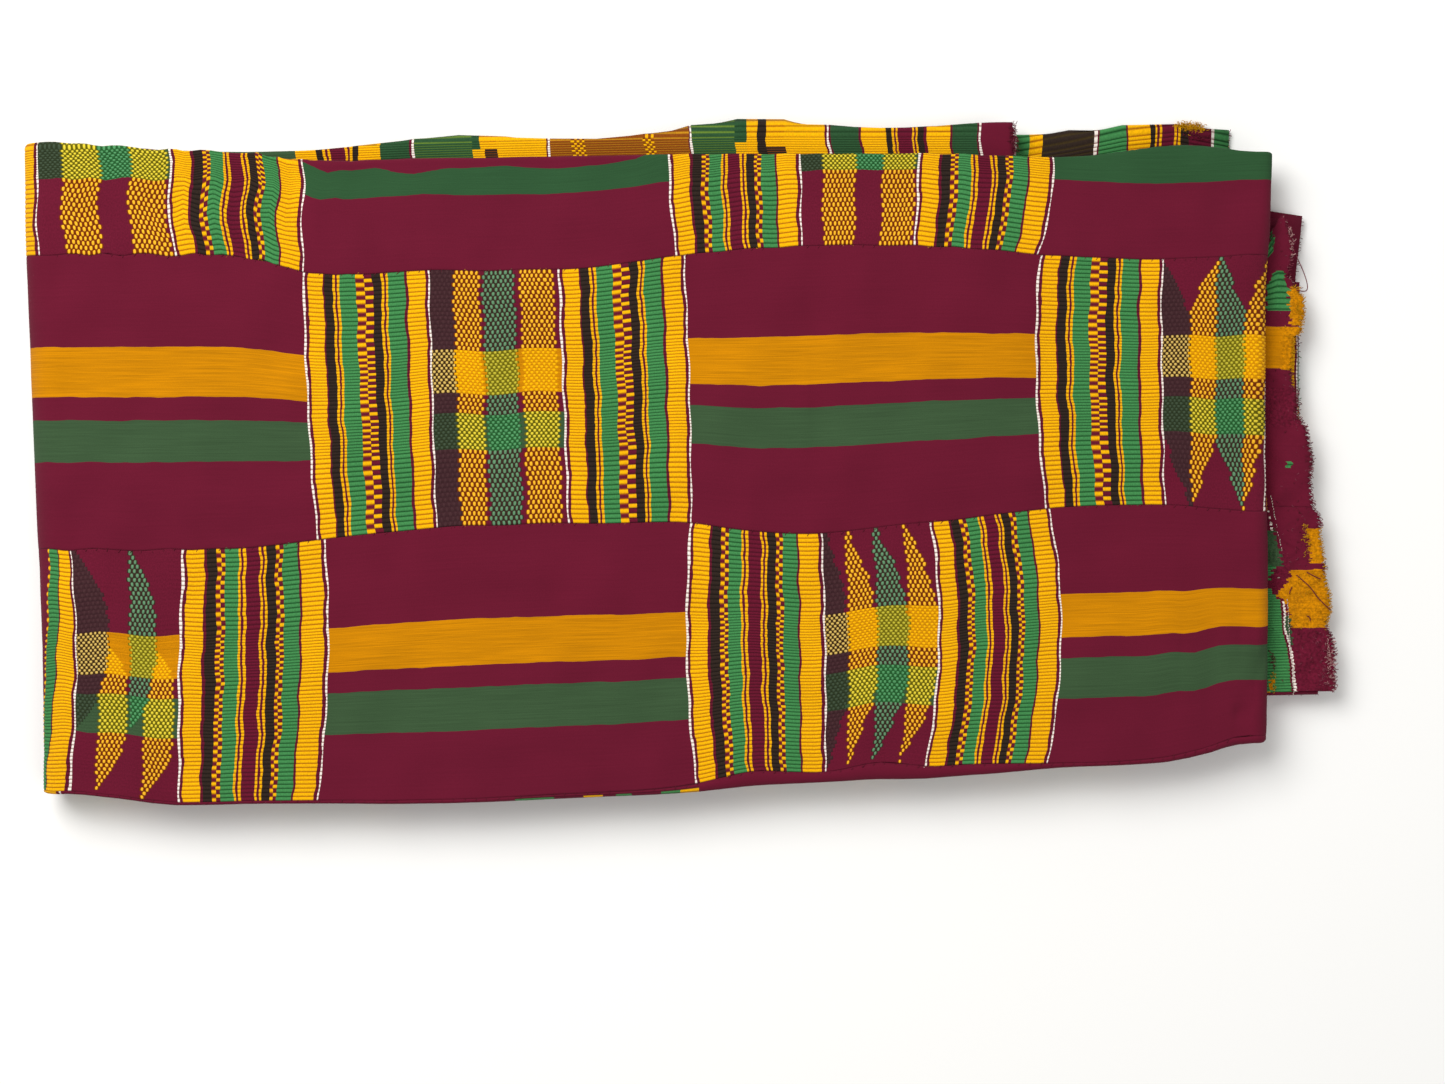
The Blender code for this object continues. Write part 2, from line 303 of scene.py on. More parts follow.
def layUneven(x, y, z):
    # the slow swells that the solids have, and the finer ones, all fading out towards the floor
    lengthX, lengthY, phase, swell = pack["swell"]
    waveX = np.sin(2 * math.pi * x / lengthX + phase)
    waveY = np.cos(2 * math.pi * y / lengthY)
    above = np.maximum(0, z - flatBelow)
    share = above / (packTop - flatBelow)
    rise, push = rumpleShift(x, y)
    uneven = creaseHeight(x, y) + smallSwells(x, y) + rise
    return x, y + share * push, z + above * swell * waveX * waveY + share * uneven


def findRuns(along):
    # which run or fold each place along a strip lies in, in the strip's order, and its place along X
    # before the edges' own shifts
    left, right = pack["leftCentre"], pack["rightCentre"]
    inBottom = along < -bigFold
    inBig = (along >= -bigFold) & (along < 0)
    inTop = (along >= 0) & (along <= reach)
    inRight = (along > reach) & (along < reach + smallFold)
    inThird = (along >= reach + smallFold) & (along <= 2 * reach + smallFold)
    inSmall = (along > 2 * reach + smallFold) & (along < secondFrom)
    places = [inBottom, inBig, inTop, inRight, inThird, inSmall]
    stations = np.select(
        places,
        [
            left - bigFold - along,
            left,
            left + along,
            right,
            right - (along - reach - smallFold),
            left,
        ],
        left + along - secondFrom,
    )
    return places, stations


def planLine(column, stations, along):
    # one line of the plans in mm, each run by its own plan
    lowerRun, secondRun, upperRuns = [
        readSmooth(plan, column, stations / mm) for plan in (bottomPlan, secondPlan, topPlan)
    ]
    return np.select([along < -bigFold, along >= secondFrom], [lowerRun, secondRun], upperRuns)


def layCloth(along, across):
    # Carries points of the flat cloth to the folded pack. along is measured from the left fold,
    # over the top run; the bottom run is below nought and the third and second run follow the top.
    q, height = crossSection(across)
    depth = (pack["runWidth"] - q) / mm
    top = topHeight - pack["backSag"] * readSmooth(depthShape, 3, depth)
    halfSag = (topHeight - top) / 2
    leftShift = readSmooth(depthShape, 1, depth) * mm - halfSag
    rightShift = readSmooth(depthShape, 2, depth) * mm + halfSag

    places, stations = findRuns(along)
    inBottom, inBig, inTop, inRight, _, inSmall = places
    share = np.clip((stations - pack["leftCentre"]) / reach, 0, 1)
    x = stations + (1 - share) * leftShift + share * rightShift

    turn = np.select(
        [inBig, inRight, inSmall],
        [
            math.pi * (along + bigFold) / bigFold,
            math.pi * (along - reach) / smallFold,
            math.pi * (along - 2 * reach - smallFold) / smallFold,
        ],
        0.0,
    )
    low, third = bottomHeight, thirdHeight
    first = np.select(places, [low, low, top, top, third, third], secondHeight)
    last = np.select(places, [low, top, top, third, third, secondHeight], secondHeight)
    radius = np.abs(first - last) / 2 + np.where(inSmall, -height, height)
    outward = radius * np.sin(turn)
    inFold = inBig | inRight | inSmall
    x = x + np.where(inRight, outward, np.where(inFold, -outward, 0))
    rise = radius * np.cos(turn) * np.where(first > last, 1, -1)
    faceUp = inTop | (along >= secondFrom)
    z = np.where(inFold, (first + last) / 2 + rise, first)
    z = z + np.where(inFold, 0, np.where(faceUp, height, -height))

    lines = [planLine(column, stations, along) for column in range(1, 5)]
    upperMargin = readSmooth(frontMargins, 1, stations / mm)
    inUpper = ~inBottom & (along < secondFrom)
    lines.insert(3, lines[3] + np.where(inUpper, upperMargin, pack["lowerMargin"] / mm))
    inset, width = pack["seamInset"] / mm, pack["stripWidth"] / mm
    planDepths = [0, inset, inset + width, inset + 2 * width, pack["runWidth"] / mm]
    y = lines[0]
    for i in range(4):
        part = np.clip((depth - planDepths[i]) / (planDepths[i + 1] - planDepths[i]), 0, 1)
        y = y + part * (lines[i + 1] - lines[i])
    x, y = x - pack["middle"][0], y * mm - pack["middle"][1]
    return layUneven(x, y, z)


def alongAt(px, depth, run="top"):
    # how far along a strip the weft lies that shows at pixel column px, at this depth (mm)
    left, right = pack["leftCentre"], pack["rightCentre"]
    leftShift = float(readSmooth(depthShape, 1, depth)) * mm
    rightShift = float(readSmooth(depthShape, 2, depth)) * mm
    stretch = 1 + (rightShift - leftShift) / reach
    if run != "top":
        level = secondHeight + 1.5 * pitch if run == "second" else bottomHeight + 0.5 * pitch
        x = toPlan(px, 0, level)[0]
        station = x - rightShift if x > right else (x - leftShift - left) / stretch + left
        return station - left + secondFrom if run == "second" else left - bigFold - station
    x = toPlan(px, 0)[0]
    if x < left + leftShift:
        outer = (topHeight - bottomHeight) / 2 + 1.5 * pitch
        turned = (left + leftShift - x) / outer
        # further out than the fold reaches stands for its underside
        angle = math.asin(min(1.0, turned)) + 2 * max(0.0, turned - 1)
        return -angle * bigFold / math.pi
    if x > right + rightShift:
        outer = (topHeight - thirdHeight) / 2 + 1.5 * pitch
        angle = math.asin(min(1.0, (x - right - rightShift) / outer))
        return reach + angle * smallFold / math.pi
    return (x - leftShift - left) / stretch


print("folds set out")


# Colours of the yarns, as the eye sees them in even light
yarn = {
    "maroon": "#62142a",
    "yellowWarp": "#c27c00",
    "greenWarp": "#385034",
    "deepGreen": "#2b4e2f",
    "yellow": "#eeae04",
    "green": "#40834a",
    "black": "#2e231d",
    "white": "#efe5da",
    "rust": "#84430f",
    "lime": "#66822c",
    "gold": "#c08a18",
    "umber": "#a87008",
    "bronze": "#3e3118",
}
# What shows in the grooves between ribs of a yarn: the yarn darkened with painted shade, with some of
# the warp showing through
grooveYarnAndShade = {
    "maroon": "#430d1d",
    "yellow": "#985008",
    "green": "#0f3f1a",
    "deepGreen": "#1c3a20",
    "black": "#17110e",
    "white": "#8a625c",
    "rust": "#4e2009",
}
# Open-woven bars: what shows between the grains, darkened with painted shade, and the grains,
# brightened with painted highlight, for each weft over each warp.
# Where black lies over yellow the grains are the warp's.
openShadedPairs = {
    "black": {
        "maroon": ("#3a2024", "#42282b"),
        "yellowWarp": ("#35200a", "#cfae5c"),
        "greenWarp": ("#29331f", "#3d4b38"),
    },
    "yellow": {
        "maroon": ("#6b2702", "#f2b228"),
        "yellowWarp": ("#cc8800", "#f3b103"),
        "greenWarp": ("#5e5703", "#dcc738"),
    },
    "green": {
        "maroon": ("#33251c", "#5f8a66"),
        "yellowWarp": ("#6a6208", "#b9ae34"),
        "greenWarp": ("#205428", "#4f8f5c"),
    },
}


def linearColour(hexColour):
    # sRGB hex to the linear values that shaders take
    parts = [int(hexColour[i : i + 2], 16) / 255 for i in (1, 3, 5)]
    return [c / 12.92 if c <= 0.04045 else ((c + 0.055) / 1.055) ** 2.4 for c in parts] + [1.0]


def addNode(tree, kind, inputs=None, **settings):
    # one node with what feeds it and its settings; a ramp's stops are among the settings
    node = tree.nodes.new(kind)
    for name, value in settings.items():
        if name == "stops":
            elements = node.color_ramp.elements
            while len(elements) < len(value):
                elements.new(1.0)
            while len(elements) > len(value):
                elements.remove(elements[-1])
            for element, (place, colour) in zip(elements, value):
                element.position = place
                element.color = colour
        elif name == "ramp":
            node.color_ramp.interpolation = value
        else:
            setattr(node, name, value)
    for socket, value in (inputs or {}).items():
        if isinstance(value, bpy.types.Node):
            value = value.outputs[0]
        if isinstance(value, bpy.types.NodeSocket):
            tree.links.new(value, node.inputs[socket])
        else:
            node.inputs[socket].default_value = value
    return node


# The loom's sett: five bands of warp, and how many ribs each makes under the weft-faced blocks
loom = {
    "bands": ["maroon", "yellowWarp", "maroon", "greenWarp", "maroon"],
    "bandEdges": [0, 32, 50, 57.8, 73.5, 100],  # mm across the strip
    "ribEdges": [0, 19, 34, 39, 51, 67],  # a rib is 1.7 mm on maroon and 1.2 mm on yellow
    # how plainly the warp's threads show
    "threadLines": {"maroon": 0.12, "yellowWarp": 0.62, "greenWarp": 0.4, "deepGreen": 0.3},
    "grainPitch": 1.82,  # mm along the strip between the grains of the open-woven bars
}

ribCount = float(loom["ribEdges"][-1])


def twinLines(width):
    # two fine yellow lines on maroon
    return [("yellow", width), ("maroon", width), ("yellow", width)]


# Bars of weft, across the block from left to right. Columns: yarn, width in mm, and how it is woven,
# which is solid where nothing is said. Two yarns with a stroke between them change places from rib to
# rib and make a check.
barsOne = [
    ("white", 0.7), ("maroon", 1.0), ("yellow", 6.1), ("maroon", 0.6), ("black", 3.2),
    ("yellow", 0.8), ("maroon", 0.8), ("yellow", 0.9), ("green", 6.2), ("yellow/maroon", 3.1),
    ("maroon/yellow", 3.1), ("black", 3.2), *twinLines(0.8), ("green", 6.4), ("maroon", 1.1),
    ("yellow", 6.5), ("maroon", 1.1), ("white", 0.7),
]
barsTwo = [
    ("white", 0.7), ("maroon", 0.9), ("yellow", 5.9), ("maroon", 0.9), ("black", 3.2),
    ("yellow/maroon", 1.35), ("maroon/yellow", 1.35), ("green", 4.5), *twinLines(0.8),
    ("maroon", 4.5), *twinLines(0.8), ("black", 2.9), ("yellow/maroon", 1.2),
    ("maroon/yellow", 1.2), ("green", 5.2), ("maroon", 0.6), ("yellow", 7.0), ("maroon", 1.1),
    ("white", 0.7),
]
smallLattice = [("rust/yellow", 1.1), ("yellow/rust", 1.1)]
# A plain stretch names its bands of warp. A block is its bars of weft, or says more about them.
weaves = {
    "plainWarp": {"bands": loom["bands"]},
    # the fifth strip's warp has a deeper green
    "plainDeep": {"bands": ["maroon", "yellowWarp", "maroon", "deepGreen", "maroon"]},
    "barsOne": barsOne,
    "barsTwo": barsTwo,
    "middleOpen": [
        ("black", 8.6, "open"), ("yellow", 9.8, "open"), ("maroon", 1.1, "bare"),
        ("green", 12.0, "open"), ("maroon", 1.3, "bare"), ("yellow", 13.3, "open"),
        ("maroon", 1.5, "bare"),
    ],
    # the short bars float over the green warp only
    "middleShort": [
        ("black", 8.4, "short"), ("yellow", 14.0, "open"), ("green", 10.6, "short"),
        ("yellow", 13.4, "open"), ("maroon", 1.2, "bare"),
    ],
    # Leaves: yarn, width, how it is woven, which side is straight, and which outline it has
    "leavesFull": [
        ("black", 8.6, "leaf", "left", "full"), ("yellow", 10.9, "leaf", "left", "full"),
        ("green", 11.5, "leaf", "left", "full"), ("yellow", 11.4, "leaf", "left", "full"),
    ],
    # crossed leaves have their straight side on the other hand in the front half
    "leavesPaired": {
        "crossed": True,
        "bars": [
            ("black", 10.3, "leaf", "left", "paired"), ("yellow", 10.4, "leaf", "right", "paired"),
            ("green", 11.0, "leaf", "left", "paired"), ("yellow", 6.9, "leaf", "right", "paired"),
        ],
    },
    # the leaves of the second set lie over those of the first
    "leavesStaggered": {
        "bars": [
            ("maroon", 8.3, "bare"), ("yellow", 11.5, "leaf", "left", "lower"),
            ("maroon", 6.4, "bare"), ("yellow", 12.0, "leaf", "left", "lower"),
            ("maroon", 1.2, "bare"),
        ],
        "over": [
            ("black", 12.4, "leaf", "left", "upper"), ("maroon", 8.1, "bare"),
            ("green", 10.4, "leaf", "left", "upper"), ("maroon", 8.5, "bare"),
        ],
    },
    # Crushed scraps at the cut ends, of plain-woven warp or of weft
    "maroonScrap": {"bands": ["maroon"]},
    "greenScrap": {"bands": ["greenWarp"]},
    "yellowScrap": {"bands": ["yellowWarp"]},
    "greenWeft": [("green", 10.0)],
    # at the left fold
    "foldBack": {"bands": ["maroon"]},
    "foldBars": [
        ("yellow/maroon", 0.8), ("green", 4.6), ("maroon", 0.5), ("yellow", 6.2),
        ("maroon", 1.1), ("white", 0.7),
    ],
    # at the front edge only the far side of each bar changes its yarn
    "frontBits": [
        ("maroon/green", 14.3, "step", 1.2), ("maroon", 11.3),
        ("maroon/yellow", 6.8, "step", 1.2), ("maroon", 5.3),
        ("maroon/green", 5.6, "step", 1.2), ("maroon", 11.3),
        ("maroon/green", 7.0, "step", 1.2), ("maroon/yellow", 7.0, "step", 1.2),
    ],
    # The sliver of the second run that shows above the top layers has blocks of its own. A lined
    # bar has its second yarn in the grooves; a stepped bar changes yarn at a rib.
    "edgeBars": [
        ("yellow", 7.6), ("black", 2.3), *twinLines(0.9), ("maroon", 5.4), *twinLines(0.9),
        ("black", 2.3), ("yellow", 8.0), ("deepGreen", 10.9), ("maroon", 0.9), ("white", 0.9),
    ],
    "edgeFigures": [
        ("deepGreen/lime", 21.6, "lined"), ("deepGreen/yellow", 3.0, "step", 61.4),
        ("yellow", 1.6), ("yellow/black", 4.6, "step", 61.4), ("yellow/umber", 18.9, "lined"),
        ("maroon", 0.5), ("white", 0.9),
    ],
    "edgeLozenge": [
        ("rust/gold", 8.3, "lined"), *smallLattice, *smallLattice, smallLattice[0],
        ("rust/gold", 22.2, "lined"), *smallLattice, *smallLattice,
        ("rust/gold", 12.7, "lined"), ("maroon", 0.5), ("white", 0.9),
    ],
    "edgeSteps": [
        ("deepGreen/lime", 16.5, "lined"), ("deepGreen/yellow", 4.5, "step", 60.0),
        ("yellow", 4.1), ("black", 3.5), ("yellow/black", 7.2, "step", 62.0),
        ("yellow/umber", 15.6, "lined"), ("maroon", 0.7), ("white", 1.0),
    ],
    "edgeBarsRight": [
        ("maroon", 0.5), ("deepGreen", 10.2), ("maroon", 0.9), ("yellow", 9.0), ("black", 2.3),
        *twinLines(0.7), ("maroon", 5.2), *twinLines(0.7), ("black", 2.3), ("maroon", 1.0),
        ("yellow", 8.6), ("maroon", 0.9), ("deepGreen", 9.2), ("maroon", 0.6), ("white", 1.0),
    ],
    "lowEdgeBars": [
        ("green", 5.4), ("white", 1.2), ("maroon", 8.4), ("black", 3.0), *twinLines(0.9),
        ("maroon", 4.6), *twinLines(0.9), ("black", 1.9), ("yellow", 7.9), ("maroon", 0.8),
        ("green", 10.3), ("maroon", 0.7), ("white", 1.1), ("black/bronze", 19.6, "lined"),
        ("yellow", 5.0), ("green", 5.3),
    ],
    "endBars": [
        ("yellow", 8.0), ("maroon", 1.0), ("green", 9.5), ("maroon", 0.9), ("white", 0.9),
    ],
}
for name, weave in weaves.items():
    if isinstance(weave, list):
        weave = weaves[name] = {"bars": weave}
    for layer in ("bars", "over"):
        weave[layer] = [bar if len(bar) > 2 else (*bar, "solid") for bar in weave.get(layer, [])]
weaveNames = list(weaves)
# How wide a leaf is from the strip's back selvedge to its front one, as shares
leafOutlines = {
    "full": [
        (0, 0.12), (0.06, 0.38), (0.12, 0.6), (0.18, 0.78), (0.25, 0.93), (0.34, 1), (0.7, 1),
        (0.77, 0.88), (0.84, 0.62), (0.91, 0.36), (1, 0.08),
    ],
    "paired": [(0, 0.05), (0.19, 0.97), (0.22, 1), (0.78, 1), (0.9, 0.5), (1, 0.05)],
    "upper": [
        (0, 0.05), (0.05, 0.4), (0.1, 0.64), (0.15, 0.8), (0.24, 0.98), (0.36, 1), (0.44, 0.93),
        (0.52, 0.82), (0.6, 0.68), (0.67, 0.4), (0.745, 0.05), (0.75, 0), (1, 0),
    ],
    "lower": [
        (0, 0), (0.345, 0), (0.35, 0.38), (0.42, 0.66), (0.5, 0.97), (0.53, 1), (0.79, 1),
        (0.86, 0.75), (0.92, 0.45), (0.97, 0.2), (1, 0.05),
    ],
}
crossedFrom = 0.55  # share of the strip's width where crossed leaves change hands
# How the cotton looks from near by. A shade gives the usual lowest and highest value of the noise it
# comes from, and the darkest and lightest it makes of them.
cottonLook = {
    "raggedScale": 90.0,  # the bands' edges are a thread or two uneven
    "raggedShare": 0.012,  # of the strip's width
    # threads of the warp are lines drawn 0.5 mm apart, coarser than real so that they show
    "threadSpot": (0.035, 2.2, 1.0),
    "threadShade": (0.3, 0.7, -0.34, 0.22),
    # wefts wander a little, so no bar has a ruled edge: scale, reach in mm, and shift in mm
    "slowWander": (0.13, 1.1, -0.7),
    "quickWander": (0.61, 0.3),
    "ribTop": [(0.0, 0.0), (0.38, 0.45), (0.8, 1.0)],  # painted shade: narrow dark grooves, broad lit tops
    "grainEnds": 2.6,  # how pointed a grain of an open bar is
    "grainEdge": (0.15, 0.68, 0.0, 1.0),
    "grainRise": 0.8,
    "fibreScale": 2.3,
    "plainFibres": (0.3, 0.7, 0.96, 1.03),
    "ribFibres": (0.3, 0.7, 0.84, 1.12),
    "slowScale": 38.0,
    "slowShade": (0.3, 0.7, 0.95, 1.04),
    "nubScale": 950.0,  # crushed ends are matted in nubs of fibre about 1 mm wide, with painted highlight on their tops and painted shade between them
    "nubShade": (0.32, 0.68, 0.66, 1.4),
    "plainBump": 0.12,
    "bump": 0.5,
    "bumpDepth": 0.25 * mm,
    "crushedDepth": 0.5 * mm,
    "finish": {"Roughness": 0.9, "Specular IOR Level": 0.06, "Sheen Weight": 0.02,
               "Sheen Roughness": 0.6},
}
openKinds = ("open", "short", "leaf", "bare")


def grey(value):
    return (value, value, value, 1.0)


def shadeRange(value, low, high, darkest, lightest):
    return {0: value, 1: low, 2: high, 3: darkest, 4: lightest}


def barLengths(bars):
    # where each bar begins, and the length of them all, in mm
    ends = np.cumsum([bar[1] for bar in bars])
    return [0.0, *ends[:-1]], float(ends[-1])


def barStops(bars, values):
    # a ramp's stops for a row of bars along the strip
    starts, length = barLengths(bars)
    return [(start / length, value) for start, value in zip(starts, values)]


def bandStops(values):
    # a ramp's stops for the bands of warp across the strip
    return [(edge / 100, value) for edge, value in zip(loom["bandEdges"], values)]


def isOpenWeave(weave):
    return bool(weave["bars"]) and weave["bars"][0][2] in openKinds


def newMaterial(name, finish):
    # a material, and its shader with the values that are the same all over
    material = bpy.data.materials.new(name)
    material.use_nodes = True
    shader = material.node_tree.nodes["Principled BSDF"]
    for socket, value in finish.items():
        shader.inputs[socket].default_value = value
    return material, shader


def drawWarp(tree, weave, v, place, place3):
    # the bands of warp, and their threads as fine lines
    bands = weave.get("bands", loom["bands"])
    straying = cottonLook["raggedShare"]
    ragged = addNode(tree, "ShaderNodeTexNoise",
                     {"Vector": place3, "Scale": cottonLook["raggedScale"], "Detail": 2.0},
                     noise_dimensions="3D")
    bandSpot = addNode(tree, "ShaderNodeMath", {0: ragged, 1: straying, 2: -straying / 2},
                       operation="MULTIPLY_ADD")
    bandShare = addNode(tree, "ShaderNodeMath", {0: v, 1: 0.01, 2: bandSpot},
                        operation="MULTIPLY_ADD")
    colours, threads = [
        addNode(tree, "ShaderNodeValToRGB", {0: bandShare}, stops=bandStops(values), ramp="CONSTANT")
        for values in (
            [linearColour(yarn[band]) for band in bands],
            [grey(loom["threadLines"][band]) for band in bands],
        )
    ]
    lineSpot = addNode(tree, "ShaderNodeVectorMath", {0: place, 1: cottonLook["threadSpot"]},
                       operation="MULTIPLY")
    lines = addNode(tree, "ShaderNodeTexNoise",
                    {"Vector": lineSpot, "Scale": 1.0, "Detail": 3.0, "Roughness": 0.65},
                    noise_dimensions="2D")
    lineRange = addNode(tree, "ShaderNodeMapRange", shadeRange(lines, *cottonLook["threadShade"]))
    lineShade = addNode(tree, "ShaderNodeMath", {0: lineRange, 1: threads, 2: 1.0},
                        operation="MULTIPLY_ADD")
    warp = addNode(tree, "ShaderNodeVectorMath", {0: colours, "Scale": lineShade}, operation="SCALE")
    return warp, lines, bandShare


def drawLeaves(tree, bars, share, index, crossed):
    # which places lie inside the leaves' outlines
    starts, length = barLengths(bars)
    side, beginning, width = [
        addNode(tree, "ShaderNodeValToRGB", {0: share}, stops=barStops(bars, values), ramp="CONSTANT")
        for values in (
            [grey(float("right" in bar)) for bar in bars],
            [grey(start / length) for start in starts],
            [grey(bar[1] / length) for bar in bars],
        )
    ]
    ribShare = addNode(tree, "ShaderNodeMath", {0: index, 1: 1 / ribCount, 2: 0.5 / ribCount},
                       operation="MULTIPLY_ADD")
    if crossed:
        inFront = addNode(tree, "ShaderNodeMath", {0: ribShare, 1: crossedFrom},
                          operation="GREATER_THAN")
        swapped = addNode(tree, "ShaderNodeMath", {0: side, 1: inFront}, operation="SUBTRACT")
        side = addNode(tree, "ShaderNodeMath", {0: swapped}, operation="ABSOLUTE")
    within = addNode(tree, "ShaderNodeMath", {0: share, 1: beginning}, operation="SUBTRACT")
    part = addNode(tree, "ShaderNodeMath", {0: within, 1: width}, operation="DIVIDE")
    turned = addNode(tree, "ShaderNodeMath", {0: side, 1: part}, operation="SUBTRACT")
    fromSide = addNode(tree, "ShaderNodeMath", {0: turned}, operation="ABSOLUTE")
    shape = next(bar[4] for bar in bars if bar[2] == "leaf")
    outline = addNode(tree, "ShaderNodeValToRGB", {0: ribShare},
                      stops=[(at, grey(value)) for at, value in leafOutlines[shape]])
    return addNode(tree, "ShaderNodeMath", {0: fromSide, 1: outline}, operation="LESS_THAN")


def wander(tree, spots):
    # how far along the strip this point is, once its weft has wandered
    slowScale, slowReach, slowShift = cottonLook["slowWander"]
    quickScale, quickReach = cottonLook["quickWander"]
    slowWander = addNode(tree, "ShaderNodeTexNoise",
                         {"Vector": spots["place"], "Scale": slowScale, "Detail": 1.0},
                         noise_dimensions="2D")
    indexSpot = addNode(tree, "ShaderNodeCombineXYZ", {0: spots["u"], 1: spots["index"]})
    quickWander = addNode(tree, "ShaderNodeTexNoise",
                          {"Vector": indexSpot, "Scale": quickScale, "Detail": 0.0},
                          noise_dimensions="2D")
    slowOffset = addNode(tree, "ShaderNodeMath", {0: slowWander, 1: slowReach, 2: slowShift},
                         operation="MULTIPLY_ADD")
    offset = addNode(tree, "ShaderNodeMath", {0: quickWander, 1: quickReach, 2: slowOffset},
                     operation="MULTIPLY_ADD")
    return addNode(tree, "ShaderNodeMath", {0: spots["u"], 1: offset}, operation="ADD")


def drawSolidBars(tree, bars, spots):
    # weft beaten down over the warp in ribs
    length = barLengths(bars)[1]
    share = addNode(tree, "ShaderNodeMath", {0: wander(tree, spots), 1: length}, operation="DIVIDE")
    names = [bar[0].split("/") for bar in bars]
    lined = [bar[2] == "lined" for bar in bars]
    evenWeft, oddWeft, groove = [
        addNode(tree, "ShaderNodeValToRGB", {0: share}, stops=barStops(bars, values), ramp="CONSTANT")
        for values in (
            [linearColour(yarn[pair[0]]) for pair in names],
            [linearColour(yarn[pair[0 if line else -1]]) for pair, line in zip(names, lined)],
            [linearColour(yarn[pair[1]] if line else grooveYarnAndShade[pair[0]])
             for pair, line in zip(names, lined)],
        )
    ]
    change = spots["odd"]
    if any(bar[2] == "step" for bar in bars):
        # a stepped bar changes its yarn at one rib instead of at each
        stepAt = [
            np.interp(bar[3], loom["bandEdges"], loom["ribEdges"]) if bar[2] == "step" else 0.0
            for bar in bars
        ]
        threshold, isStep = [
            addNode(tree, "ShaderNodeValToRGB", {0: share}, stops=barStops(bars, values),
                    ramp="CONSTANT")
            for values in (
                [grey(at / ribCount) for at in stepAt],
                [grey(float(bar[2] == "step")) for bar in bars],
            )
        ]
        ribNow = addNode(tree, "ShaderNodeMath", {0: spots["index"], 1: ribCount}, operation="DIVIDE")
        past = addNode(tree, "ShaderNodeMath", {0: ribNow, 1: threshold}, operation="GREATER_THAN")
        change = addNode(tree, "ShaderNodeMix", {0: isStep, 2: spots["odd"], 3: past},
                         data_type="FLOAT")
    weft = addNode(tree, "ShaderNodeMix", {0: change, 6: evenWeft, 7: oddWeft},
                   data_type="RGBA").outputs[2]
    # painted shade: each rib turns from its lit top to the groove colour, which for a lined bar is
    # its second yarn
    ribTop = addNode(tree, "ShaderNodeValToRGB", {0: spots["hump"]},
                     stops=[(at, grey(value)) for at, value in cottonLook["ribTop"]])
    return addNode(tree, "ShaderNodeMix", {0: ribTop, 6: groove, 7: weft},
                   data_type="RGBA").outputs[2]


